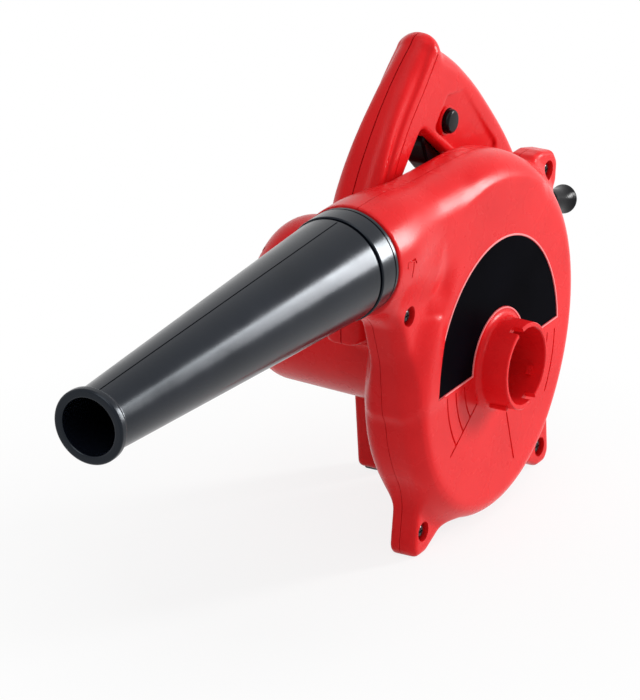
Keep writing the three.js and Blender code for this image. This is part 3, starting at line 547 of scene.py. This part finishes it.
collar = {"radius": 23.4, "length": collarLength, "wall": 2.6, "foot": 0.5, "baseFillet": 3.5, "half": 2.5,
          "slots": (-72, 108), "slotDepth": 5.5, "tabs": (62, 150, -30), "tabReach": 2.6, "tabHalf": 1.1, "tabAt": 0.55,
          "rib": -128, "ribReach": 2.4, "ribHalf": 1.1}


def makeCover():
    c = collar
    radius, length, fillet, half = c["radius"], c["length"], c["baseFillet"], c["half"]
    inner, base = radius - c["wall"], radius + c["foot"]
    cover = copyOf(scrollBody, "fan_cover_shell")
    keepBetween(cover, -50, scroll["seamY"] - scroll["seam"])
    combine(cover, "DIFFERENCE", copyOf(scrollRoom))
    profile = [(inner, -length + 0.5), (inner + 0.5, -length), (radius - 0.5, -length), (radius, -length + 0.5),
               (base, -6)]
    profile += arc(base + fillet, -fillet, fillet, 180, 90, 6) + [(base + fillet, 2), (inner, 2)]
    combine(cover, "DIFFERENCE", lathe("bore", [(0, -30), (inner, -30), (inner, 5), (0, 5)], 128))
    combine(cover, "UNION", lathe("collar", profile, 128))
    slots = [turnedTo(block(inner - 2, radius + 2, -length - 1, -length + c["slotDepth"], -half, half), turn)
             for turn in c["slots"]]
    middle, thick = -length * c["tabAt"], c["tabHalf"]
    tabs = [turnedTo(block(inner - c["tabReach"], inner + 0.5, middle - thick, middle + thick, -half, half), turn)
            for turn in c["tabs"]]
    start, end, side = radius - 0.5, radius + c["ribReach"], c["ribHalf"]
    rib = roundedOutline([(start, -side, 0), (end, -side, 1), (end, side, 1), (start, side, 0)])
    rib = turnedTo(plate("rib", rib, -length * 0.8, -length * 0.16, 1.0, 1.0), c["rib"])
    combine(cover, "DIFFERENCE", *slots)
    combine(cover, "UNION", *tabs, rib)
    seat = plate("seat", labelOutline(label["gap"]), -2, label["thickness"])
    combine(cover, "DIFFERENCE", seat, *grooves(), *arrowCuts())
    return combine(cover, "DIFFERENCE", *coverScrewHoles())


fanCover = makeCover()
print("fan cover", len(fanCover.data.polygons))


# The trigger's corners are [along the grip's inner edge, square to it, radius] from its middle.
trigger = {"middle": (11, 107), "half": 6.5, "fillet": 1.6, "play": 0.5, "stemHalf": 3,
           "window": [(-18, -12), (15.4, -12), (15.4, 14), (-18, 14)],
           "blade": [(-17, 5, 3.5), (-14, -3, 6), (-3, -9, 14), (11, -10, 5), (14, 5, 3.5)],
           "stem": [(-4, 4), (4, 4), (4, 13), (-4, 13)]}
gripAlong = Vector((83, -70)).normalized()
gripPull = Vector((-gripAlong.y, gripAlong.x))


def onGrip(a, n):
    return tuple(Vector(trigger["middle"]) + gripAlong * a + gripPull * n)


button = {"x": 18, "z": 121, "front": 35.8, "back": 39.7, "radius": 6.5, "edge": 1.8, "bore": 6.9,
          "rim": 8.2, "rimFront": 39.4, "rimBack": 41.9}
buttonPlace = Matrix.Translation((button["x"], 0, button["z"]))
boot = {"x": 123, "z": 40, "radius": 6.6, "flare": 8.2, "length": 55, "tilt": 16, "root": 12, "bore": 3.6, "ribs": 6,
        "ribStart": 6, "ribPitch": 4.6, "ribDepth": 1.1}
bootPlace = (Matrix.Translation((boot["x"], handle["y"], boot["z"]))
             @ Matrix.Rotation(math.radians(boot["tilt"]), 4, "Y") @ Matrix.Rotation(math.radians(-90), 4, "Z"))


def holesInMotor():
    t, h = trigger, handle
    reach = t["half"] + t["play"]
    window = plate("window", [onGrip(a, n) for a, n in t["window"]], h["y"] - reach, h["y"] + reach)
    bore = lathe("button", [(0, 30), (button["bore"], 30), (button["bore"], 46), (0, 46)], 64, buttonPlace)
    cordExit = lathe("exit", [(0, -8), (5.1, -8), (5.1, 0.7), (7.8, 0.7), (7.8, 40), (0, 40)], 48, bootPlace)
    spine = [Vector(p) for p in barEdge[5:26]]
    off = Vector((0.75, -0.66))
    strip = [tuple(p + off * bar["lineFrom"]) for p in spine]
    strip += [tuple(p + off * bar["lineTo"]) for p in reversed(spine)]
    line = plate("line", strip, 30, h["y"] - h["panelHalf"] + bar["lineDepth"])
    return [window, bore, cordExit, line] + housingScrewHoles()


def buttonRim():
    inner, outer, front, back = (button[k] for k in ("bore", "rim", "rimFront", "rimBack"))
    profile = [(inner - 1, front), (outer - 0.4, front), (outer, front + 0.4), (outer, back), (inner - 1, back)]
    return lathe("rim", profile, 64, buttonPlace)


# The housings: the back of the scroll with the front half of barrel and handle, and their rear half.
motorShell = combine(copyOf(motorBody, "motor_shell"), "DIFFERENCE", motorHollow())
combine(motorShell, "UNION", buttonRim())
combine(motorShell, "DIFFERENCE", *holesInMotor())


def makeMainHousing():
    back = copyOf(scrollBody, "main_housing_shell")
    keepBetween(back, scroll["seamY"] + scroll["seam"], 100)
    front = keepBetween(copyOf(motorShell), 0, handle["y"] - handle["seam"])
    combine(back, "UNION", front)
    combine(back, "DIFFERENCE", copyOf(scrollRoom))
    shaftHole = lathe("shaftHole", [(0, 20), (8.5, 20), (8.5, 60), (0, 60)], 48)
    return combine(back, "DIFFERENCE", shaftHole, *coverScrewHoles())


mainHousing = makeMainHousing()
rearHousing = keepBetween(copyOf(motorShell, "rear_housing_shell"), handle["y"] + handle["seam"], 200)
print("housings", len(mainHousing.data.polygons), len(rearHousing.data.polygons))
for used in (scrollBody, scrollRoom, motorBody, motorShell):
    bpy.data.objects.remove(used)


# Every pattern reads Object coordinates, in metres.
def newMaterial(name):
    made = bpy.data.materials.new(name)
    made.use_nodes = True
    tree = made.node_tree
    return made, tree, tree.nodes["Principled BSDF"]


def addNode(tree, kind, values=None, **settings):
    made = tree.nodes.new(kind)
    for key, value in settings.items():
        setattr(made, key, value)
    for key, value in (values or {}).items():
        made.inputs[key].default_value = value
    return made


def noiseAt(tree, scale, detail=3, roughness=0.5):
    place = addNode(tree, "ShaderNodeTexCoord").outputs["Object"]
    grain = addNode(tree, "ShaderNodeTexNoise", {"Scale": scale, "Detail": detail, "Roughness": roughness})
    tree.links.new(place, grain.inputs["Vector"])
    return grain.outputs["Fac"]


def ranged(tree, value, low, high, start=0.3, end=0.7):
    node = addNode(tree, "ShaderNodeMapRange", {"From Min": start, "From Max": end, "To Min": low, "To Max": high})
    tree.links.new(value, node.inputs["Value"])
    return node.outputs["Result"]


def mixedColour(tree, factor, a, b):
    node = addNode(tree, "ShaderNodeMix", data_type="RGBA")
    node.inputs[6].default_value = (*a, 1)
    node.inputs[7].default_value = (*b, 1)
    tree.links.new(factor, node.inputs[0])
    return node.outputs[2]


def roughened(tree, shader, height, strength, distance):
    bump = addNode(tree, "ShaderNodeBump", {"Strength": strength, "Distance": distance})
    tree.links.new(height, bump.inputs["Height"])
    tree.links.new(bump.outputs["Normal"], shader.inputs["Normal"])


# A moulded or machined finish: a fine grain with broad, faint changes of tone and gloss.
def moulded(name, light, dark, rough, grain=0.00012, grainScale=1500, strength=0.3, specular=0.5, metallic=0.0,
            tint=(1, 1, 1)):
    made, tree, shader = newMaterial(name)
    fine = noiseAt(tree, grainScale, 2, 0.6)
    broad = noiseAt(tree, 22, 3)
    spread = addNode(tree, "ShaderNodeMath", operation="MULTIPLY_ADD")
    tree.links.new(fine, spread.inputs[0])
    spread.inputs[1].default_value = 0.6
    tree.links.new(ranged(tree, broad, -0.1, 0.5), spread.inputs[2])
    tree.links.new(mixedColour(tree, spread.outputs[0], dark, light), shader.inputs["Base Color"])
    tree.links.new(ranged(tree, noiseAt(tree, 60, 4), rough[0], rough[1]), shader.inputs["Roughness"])
    roughened(tree, shader, fine, strength, grain)
    shader.inputs["Specular IOR Level"].default_value = specular
    shader.inputs["Specular Tint"].default_value = (*tint, 1)
    shader.inputs["Metallic"].default_value = metallic
    return made


# Wound wire, stacked sheets or bars: bands along one axis.
def banded(name, light, dark, rough, direction, scale, metallic=0.9):
    made, tree, shader = newMaterial(name)
    place = addNode(tree, "ShaderNodeTexCoord").outputs["Object"]
    waves = addNode(tree, "ShaderNodeTexWave", {"Scale": scale, "Distortion": 0.6, "Detail": 2},
                    bands_direction=direction)
    tree.links.new(place, waves.inputs["Vector"])
    tree.links.new(mixedColour(tree, waves.outputs["Fac"], dark, light), shader.inputs["Base Color"])
    tree.links.new(ranged(tree, noiseAt(tree, 300, 3), rough[0], rough[1]), shader.inputs["Roughness"])
    roughened(tree, shader, waves.outputs["Fac"], 0.5, 0.00012)
    shader.inputs["Metallic"].default_value = metallic
    return made


redShell = moulded("red_shell", (0.84, 0.016, 0.019), (0.68, 0.007, 0.01), (0.24, 0.3), specular=0.13)
# A pale pink for the raised edge round the label: a painted highlight.
redPaintedHighlight = moulded("red_painted_highlight", (0.95, 0.28, 0.28), (0.88, 0.16, 0.17), (0.35, 0.45))
glossBlack = moulded("gloss_black", (0.006, 0.008, 0.014), (0.002, 0.003, 0.006), (0.18, 0.25),
                     grain=0.00003, grainScale=900, strength=0.08, specular=0.26, tint=(0.8, 0.9, 1))
controlBlack = moulded("control_black", (0.006, 0.006, 0.008), (0.002, 0.002, 0.003), (0.2, 0.3),
                       grain=0.00005, specular=0.1)
labelFilm = moulded("label_film", (0.002, 0.002, 0.004), (0.0005, 0.0005, 0.001), (0.34, 0.44),
                    grain=0.00002, specular=0.004)
screwBlack = moulded("screw_black", (0.05, 0.05, 0.055), (0.02, 0.02, 0.022), (0.2, 0.3), grain=0.00003, metallic=0.8)
rubberBlack = moulded("rubber_black", (0.02, 0.02, 0.022), (0.01, 0.01, 0.011), (0.55, 0.75),
                      grain=0.0002, grainScale=900)
steelBright = moulded("steel_bright", (0.62, 0.62, 0.64), (0.45, 0.45, 0.47), (0.2, 0.36), grain=0.00004, metallic=1.0)
brassStamped = moulded("brass_stamped", (0.72, 0.54, 0.22), (0.55, 0.4, 0.15), (0.25, 0.4),
                       grain=0.00004, metallic=1.0)
carbonBlock = moulded("carbon_block", (0.05, 0.05, 0.052), (0.02, 0.02, 0.022), (0.6, 0.8), grain=0.0002)
nylonWhite = moulded("nylon_white", (0.74, 0.71, 0.63), (0.62, 0.59, 0.5), (0.4, 0.55), grain=0.0001, grainScale=800)
copperWire = banded("copper_wire", (0.7, 0.3, 0.12), (0.42, 0.15, 0.05), (0.25, 0.4), "Y", 260)
copperBars = banded("copper_bars", (0.75, 0.4, 0.2), (0.3, 0.15, 0.08), (0.2, 0.35), "Z", 160)
ironStack = banded("iron_stack", (0.3, 0.31, 0.33), (0.16, 0.165, 0.18), (0.4, 0.6), "Y", 420)
print("materials")


sharpFrom = 35  # degrees: an edge that bends less is shaded smooth


# A piece goes to its place in metres, gets its finish and rides on its body.
def finishPiece(made, name, body, finish, nodes=()):
    made.name = made.data.name = name
    made.data.transform(toWorld)
    made.data.materials.clear()
    made.data.materials.append(finish)
    form = bmesh.new()
    form.from_mesh(made.data)
    bmesh.ops.remove_doubles(form, verts=form.verts, dist=1.5e-5)
    limit = math.radians(sharpFrom)
    for face in form.faces:
        face.smooth = True
    for edge in form.edges:
        edge.smooth = len(edge.link_faces) == 2 and edge.calc_face_angle(0) < limit
    form.to_mesh(made.data)
    form.free()
    even = made.modifiers.new("even", "WEIGHTED_NORMAL")
    even.keep_sharp = True
    bakeModifiers(made)
    made.data.name = name
    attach(made, body)
    if nodes:
        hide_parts(*nodes)


finishPiece(fanCover, "fan_cover_shell", "housing", redShell, ["fan_cover"])
finishPiece(mainHousing, "main_housing_shell", "housing", redShell, ["main_housing"])


# Geometry Nodes tree: copies of an object at the points of the incoming mesh, or in a ring about the Y axis.
def copiesTree(name, ring):
    tree = bpy.data.node_groups.new(name, "GeometryNodeTree")
    face = tree.interface
    face.new_socket("Geometry", in_out="OUTPUT", socket_type="NodeSocketGeometry")
    face.new_socket("Geometry", in_out="INPUT", socket_type="NodeSocketGeometry")
    face.new_socket("Copy", in_out="INPUT", socket_type="NodeSocketObject")
    face.new_socket("Finish", in_out="INPUT", socket_type="NodeSocketMaterial")
    if ring:
        face.new_socket("Count", in_out="INPUT", socket_type="NodeSocketInt")
        face.new_socket("Turn", in_out="INPUT", socket_type="NodeSocketFloat")
    n = tree.nodes
    start, end = n.new("NodeGroupInput"), n.new("NodeGroupOutput")
    info = n.new("GeometryNodeObjectInfo")
    tree.links.new(start.outputs["Copy"], info.inputs["Object"])
    place = n.new("GeometryNodeInstanceOnPoints")
    tree.links.new(info.outputs["Geometry"], place.inputs["Instance"])
    if ring:
        points = n.new("GeometryNodePoints")
        points.inputs["Radius"].default_value = 0.1
        tree.links.new(start.outputs["Count"], points.inputs["Count"])
        tree.links.new(points.outputs[0], place.inputs["Points"])
        index = n.new("GeometryNodeInputIndex")
        share = n.new("ShaderNodeMath")
        share.operation = "DIVIDE"
        tree.links.new(index.outputs[0], share.inputs[0])
        tree.links.new(start.outputs["Count"], share.inputs[1])
        turn = n.new("ShaderNodeMath")
        turn.operation = "MULTIPLY_ADD"
        turn.inputs[1].default_value = 2 * math.pi
        tree.links.new(share.outputs[0], turn.inputs[0])
        tree.links.new(start.outputs["Turn"], turn.inputs[2])
        about = n.new("ShaderNodeCombineXYZ")
        tree.links.new(turn.outputs[0], about.inputs["Y"])
        tree.links.new(about.outputs[0], place.inputs["Rotation"])
    else:
        tree.links.new(start.outputs["Geometry"], place.inputs["Points"])
    real = n.new("GeometryNodeRealizeInstances")
    coat = n.new("GeometryNodeSetMaterial")
    tree.links.new(place.outputs["Instances"], real.inputs["Geometry"])
    tree.links.new(real.outputs["Geometry"], coat.inputs["Geometry"])
    tree.links.new(start.outputs["Finish"], coat.inputs["Material"])
    tree.links.new(coat.outputs["Geometry"], end.inputs["Geometry"])
    return tree


ringTree = copiesTree("ring_of_copies", True)
scatterTree = copiesTree("copies_at_points", False)


def setInputs(change, **values):
    for item in change.node_group.interface.items_tree:
        if item.in_out == "INPUT" and item.name in values:
            change[item.identifier] = values[item.name]


# One mesh of copies of a piece, at points or in a ring of count.
def copies(name, one, finish, points=None, count=0, turn=0.0):
    mesh = bpy.data.meshes.new(name)
    mesh.from_pydata(points or [(0, 0, 0)], [], [])
    made = bpy.data.objects.new(name, mesh)
    scene.collection.objects.link(made)
    change = made.modifiers.new("copies", "NODES")
    change.node_group = scatterTree if points else ringTree
    setInputs(change, Copy=one, Finish=finish, **({} if points else {"Count": count, "Turn": turn}))
    bakeModifiers(made)
    bpy.data.objects.remove(one)
    return made


# The rear housing with its vents and the channel for the foot's pad.
vent = {"count": 16, "width": 3.4, "inner": 24, "outer": 40, "turn": 11, "corner": 1.6}


def padOutline(grow, bottom):
    f = foot
    top, shift = f["padTop"] + grow, f["padWall"] - grow
    right = f["x"] + f["width"] / 2 - f["padWall"] + grow
    return roundedOutline([(footSide(f["padTop"]) + shift, top, 1), (footSide(bottom) + shift, bottom, 4),
                           (right, bottom, 4), (right, top, 1)])


def makeRear():
    f, v = foot, vent
    half, corner = v["width"] / 2, v["corner"]
    slot = roundedOutline([(v["inner"], -half, corner), (v["outer"], -half, corner),
                           (v["outer"], half, corner), (v["inner"], half, corner)], 4)
    one = plate("slot", slot, barrel["endY"] - 20, barrel["endY"] + 20)
    ring = copies("vents", one, redShell, count=v["count"], turn=math.radians(v["turn"]))
    ring.data.transform(Matrix.Translation((0, 0, barrel["rise"])))
    room = plate("room", padOutline(0.3, -95), f["y"] - f["depth"] / 2 - 3, f["y"] + f["depth"] / 2 - 2.5)
    return combine(rearHousing, "DIFFERENCE", ring, room)


finishPiece(makeRear(), "rear_housing_shell", "housing", redShell, ["rear_housing"])
pad = plate("pad", padOutline(0, foot["padBottom"]), foot["y"] - foot["padFront"], foot["y"] + foot["padBack"], 2, 0.8)
finishPiece(pad, "foot_pad_soft", "housing", rubberBlack, ["foot_pad"])
print("rear housing")


# The label's film lies in its seat, with a raised edge round it; the edge's pale pink is a painted highlight.
def makeLabelEdge():
    edge = plate("edge", labelOutline(label["gap"] + label["edge"]), -0.35, 0.2, 0.3, 0, 3)
    return combine(edge, "DIFFERENCE", plate("in", labelOutline(0.3), -2, 2))


film = plate("label", labelOutline(0), 0.06, label["thickness"] - 0.05, 0.15, 0, 2)
finishPiece(film, "intake_label_film", "housing", labelFilm, ["intake_label"])
# The raised edge is finished pale pink, a painted highlight.
finishPiece(makeLabelEdge(), "label_edge", "housing", redPaintedHighlight)


# The nozzle: a spigot inside the outlet, a ring with a fine groove, and a long cone with a flared lip.
nozzle = {"length": 241, "ringLength": 16, "ringRadius": 27.8, "tip": 16.3, "lip": 18.6, "lipWidth": 5, "wall": 2.2,
          "spigot": 25.5, "insert": 14, "gap": 0.3, "edge": 0.8, "neck": 1.9, "partingTurn": 7,
          "groove": [(0, 2.6), (0.8, 2.7), (0.8, 3.5), (0, 3.6)]}
outletPlace = (Matrix.Translation((outlet["endX"], outlet["y"], outlet["z"]))
               @ Matrix.Rotation(math.radians(90), 4, "Z"))


def makeNozzle():
    n = nozzle
    length, gap, wall, edge = n["length"], n["gap"], n["wall"], n["edge"]
    ring, ringEnd, spigot, tip, lip = n["ringRadius"], n["ringLength"], n["spigot"], n["tip"], n["lip"]
    lipStart, coneStart, neck = length - n["lipWidth"], ringEnd + 1.8, ring - n["neck"]
    slope = (tip - ring + edge) / (lipStart - 3 - coneStart)
    profile = [(spigot - wall, -n["insert"]), (spigot - 0.5, -n["insert"]), (spigot, -n["insert"] + 2),
               (spigot, gap), (ring - 0.5, gap)]
    profile += arc(ring - edge, gap + edge, edge, -90, 0, 4)
    profile += [(ring - deep, gap + at) for deep, at in n["groove"]]
    profile += arc(ring - edge, ringEnd - edge, edge, 0, 90, 4)
    profile += [(neck, ringEnd), (neck, ringEnd + 1.2), (ring - 1.1, ringEnd + 1.3), (ring - edge, coneStart)]
    profile += [(ring - edge + slope * (d - coneStart), d) for d in (60, 110, 160, 200, lipStart - 3)]
    profile += [(tip + 0.3, lipStart - 1.5), (tip + 1.1, lipStart - 0.4), (lip - 0.5, lipStart)]
    profile += arc(lip - 1.3, lipStart + 1.3, 1.3, -60, 0, 4) + arc(lip - 1.4, length - 1.4, 1.4, 0, 90, 5)
    profile += arc(tip - wall + 1.2, length - 1.2, 1.2, 90, 180, 4)
    profile += [(ring - edge - wall, ringEnd), (spigot - wall, 0)]
    cone = lathe("nozzle_tube", profile, 160)
    mouldLines = []
    for side in (1, -1):
        rings = []
        for d in (coneStart + 1, lipStart - 2):
            r = ring - edge + slope * (d - coneStart)
            rings.append([(x, d, side * (r + h)) for x, h in ((-0.25, -0.7), (0.25, -0.7), (0.45, 1), (-0.45, 1))])
        mouldLines.append(turnedTo(skin("line", rings), n["partingTurn"]))
    combine(cone, "DIFFERENCE", *mouldLines)
    cone.data.transform(outletPlace)
    return cone


finishPiece(makeNozzle(), "nozzle_tube", "nozzle_cone", glossBlack, ["nozzle"])


# The trigger, the lock button and the cord boot.
def makeTrigger():
    t, y = trigger, handle["y"]
    blade = plate("trigger", roundedOutline([(*onGrip(a, n), r) for a, n, r in t["blade"]]),
                  y - t["half"], y + t["half"], t["fillet"], t["fillet"])
    stem = plate("stem", [onGrip(a, n) for a, n in t["stem"]], y - t["stemHalf"], y + t["stemHalf"])
    return combine(blade, "UNION", stem)


def makeButton():
    front, back, radius, edge = (button[k] for k in ("front", "back", "radius", "edge"))
    profile = [(0, front), (2, front + 0.05)] + arc(radius - edge, front + 1.9, edge, -80, 0, 6)
    return lathe("button", profile + [(radius, back), (0, back)], 64, buttonPlace)


def makeBoot():
    b = boot
    bore, radius, flare, root, length = b["bore"], b["radius"], b["flare"], b["root"], b["length"]
    neck, bulge = radius - 1.8, radius + 0.8
    profile = [(bore, -root), (radius + 2, -root), (radius + 2, -root + 3), (neck, -root + 3.4),
               (neck, 1), (radius + 0.4, 1.2), (bulge, 1.8), (bulge, 3)]
    for k in range(b["ribs"]):
        d = b["ribStart"] + b["ribPitch"] * k
        r = radius + 0.5 - 0.2 * k
        profile += [(r, d), (r - b["ribDepth"], d + 0.5), (r - b["ribDepth"], d + 1.9), (r - 0.1, d + 2.4)]
    profile += [(radius - 0.5, 36), (radius - 0.4, length - 14), (radius + 0.1, length - 8.5),
                (flare - 0.5, length - 6)]
    profile += arc(flare - 1.5, length - 4, 1.5, -40, 60, 6)
    profile += arc(flare - 2.6, length - 1.5, 1.5, 20, 90, 4) + [(bore, length)]
    return lathe("boot", profile, 72, bootPlace)


finishPiece(makeTrigger(), "trigger_blade", "trigger_lever", controlBlack, ["trigger"])
finishPiece(makeButton(), "lock_button_cap", "lock_pin", controlBlack, ["lock_button"])
finishPiece(makeBoot(), "cord_boot_soft", "housing", controlBlack, ["cord_boot"])
print("controls")


# A screw with a pan head and a cross recess.
def makeScrew(length, turned=False):
    s = screws
    head, top, radius, pitch = s["headRadius"], -s["headHeight"], s["radius"], s["pitch"]
    profile = [(0, top), (head * 0.55, top + 0.1), (head * 0.85, top + 0.7), (head, top + 1.5), (head, 0), (radius, 0)]
    for k in range(int((length - 3) / pitch)):
        profile += [(radius, 1.2 + pitch * k), (radius - 0.45, 1.7 + pitch * k), (radius - 0.45, 2.3 + pitch * k)]
    profile += [(radius - 0.3, length - 1.5), (0, length)]
    one = lathe("screw", profile, 32)
    arms = [block(-a, a, top - 1, top + 1.5, -b, b) for a, b in ((2.1, 0.42), (0.42, 2.1))]
    combine(one, "DIFFERENCE", *arms)
    if turned:
        one.data.transform(Matrix.Rotation(math.pi, 4, "X"))
    return one


for i, (x, y, z, length) in enumerate(coverScrews):
    one = copies("set", makeScrew(length), screwBlack, points=[(x, y, z)])
    finishPiece(one, f"cover_screw_{i + 1}_head", "housing", screwBlack, [f"cover_screw_{i + 1}"])
rearPoints = [(x, screws["housingY"], z) for x, z in screws["housing"]]
rearSet = copies("set", makeScrew(screws["housingHole"] - 1, True), screwBlack, points=rearPoints)
rearNodes = [f"housing_screw_{i + 1}" for i in range(len(rearPoints))]
finishPiece(rearSet, "housing_screw_set", "housing", screwBlack, rearNodes)
print("screws")


# The parts inside stay as the solids have them and get their finish.
carried = {
    "trigger_switch": controlBlack, "impeller": nylonWhite, "impeller_nut": steelBright, "shaft_collar": brassStamped,
    "motor_shaft": steelBright, "front_bearing": steelBright, "rear_bearing": steelBright,
    "armature_core": ironStack, "armature_coil_front": copperWire, "armature_coil_rear": copperWire,
    "commutator": copperBars, "stator_core": ironStack, "field_coil_top": copperWire, "field_coil_bottom": copperWire,
    "brush_bridge": nylonWhite, "brush_holder_left": brassStamped, "brush_holder_right": brassStamped,
    "carbon_brush_left": carbonBlock, "carbon_brush_right": carbonBlock,
}
for name, finish in carried.items():
    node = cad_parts[name]
    node.data.materials.clear()
    node.data.materials.append(finish)


# The floor takes the shadow; the camera and glossy surfaces see it glow white, more so further out.
stage = {"half": 8, "colour": 0.94, "nearWhite": 0.84, "nearEnd": 0.1, "farStart": 0.3, "fill": 0.29}


def raysSeen(tree, *kinds):
    rays = addNode(tree, "ShaderNodeLightPath")
    seen = rays.outputs[kinds[0]]
    for kind in kinds[1:]:
        either = addNode(tree, "ShaderNodeMath", operation="MAXIMUM")
        tree.links.new(seen, either.inputs[0])
        tree.links.new(rays.outputs[kind], either.inputs[1])
        seen = either.outputs[0]
    return seen


def makeFloor():
    half, colour = stage["half"], stage["colour"]
    corners = [(-half, -half, 0), (half, -half, 0), (half, half, 0), (-half, half, 0)]
    floor = makeObject("floor", corners, [(0, 1, 2, 3)])
    made, tree, shader = newMaterial("floor_white")
    shader.inputs["Base Color"].default_value = (colour, colour, colour, 1)
    shader.inputs["Roughness"].default_value = 0.9
    shader.inputs["Specular IOR Level"].default_value = 0.1
    white = addNode(tree, "ShaderNodeEmission", {"Color": (1, 1, 1, 1), "Strength": 1.0})
    far = addNode(tree, "ShaderNodeVectorMath", operation="LENGTH")
    tree.links.new(addNode(tree, "ShaderNodeTexCoord").outputs["Object"], far.inputs[0])
    away = ranged(tree, far.outputs["Value"], stage["nearWhite"], 1, stage["nearEnd"], stage["farStart"])
    share = addNode(tree, "ShaderNodeMath", operation="MULTIPLY")
    tree.links.new(away, share.inputs[0])
    tree.links.new(raysSeen(tree, "Is Camera Ray", "Is Glossy Ray"), share.inputs[1])
    mix = addNode(tree, "ShaderNodeMixShader")
    tree.links.new(share.outputs[0], mix.inputs[0])
    tree.links.new(shader.outputs[0], mix.inputs[1])
    tree.links.new(white.outputs[0], mix.inputs[2])
    tree.links.new(mix.outputs[0], tree.nodes["Material Output"].inputs["Surface"])
    floor.data.materials.append(made)


def makeWorld():
    world = bpy.data.worlds.new("studio")
    scene.world = world
    world.use_nodes = True
    tree = world.node_tree
    ground = tree.nodes["Background"]
    ground.inputs["Color"].default_value = (1, 1, 1, 1)
    seen = raysSeen(tree, "Is Camera Ray", "Is Glossy Ray", "Is Transmission Ray")
    tree.links.new(ranged(tree, seen, stage["fill"], 1, 0, 1), ground.inputs["Strength"])


makeFloor()
makeWorld()


def softbox(name, place, target, width, height, power):
    lamp = bpy.data.lights.new(name, "AREA")
    lamp.shape, lamp.size, lamp.size_y, lamp.energy = "RECTANGLE", width, height, power
    made = bpy.data.objects.new(name, lamp)
    made.location = place
    made.rotation_euler = (Vector(target) - Vector(place)).to_track_quat("-Z", "Y").to_euler()
    scene.collection.objects.link(made)


# A compact key from the right draws the long highlight on the nozzle; wide boxes from the left and above fill in.
softbox("key", (1.63, -1.25, 0.6), (-0.05, 0, 0.15), 0.34, 0.85, 38)
softbox("left", (-1.3, -0.3, 1.8), (0, 0, 0.12), 1.3, 1.3, 12)
softbox("above", (0.1, -0.5, 2.0), (0, 0, 0.12), 1.6, 1.4, 7)

view = {"azimuth": -59.57, "elevation": 22.13, "roll": -0.88, "distance": 2250.2, "shiftRight": 93.6, "shiftUp": 5.5,
        "pixelsPerMm": 1.9058, "pixelsHigh": 700}


def makeCamera():
    v = view
    azimuth, elevation, roll = (math.radians(v[k]) for k in ("azimuth", "elevation", "roll"))
    flat = math.cos(elevation)
    back = Vector((math.sin(azimuth) * flat, -math.cos(azimuth) * flat, math.sin(elevation)))
    side = Vector((0, 0, 1)).cross(back).normalized()
    up = back.cross(side)
    right = side * math.cos(roll) + up * math.sin(roll)
    top = up * math.cos(roll) - side * math.sin(roll)
    eye = toWorld @ (back * v["distance"] - right * v["shiftRight"] + top * v["shiftUp"])
    lens = bpy.data.cameras.new("camera")
    lens.sensor_width = 36
    lens.lens = v["pixelsPerMm"] * v["distance"] / v["pixelsHigh"] * lens.sensor_width
    lens.clip_end = 50
    made = bpy.data.objects.new("camera", lens)
    turn = Matrix((right, top, back)).transposed().to_4x4()
    made.matrix_world = Matrix.Translation(eye) @ turn
    scene.collection.objects.link(made)
    scene.camera = made


makeCamera()
scene.view_settings.view_transform = "Standard"
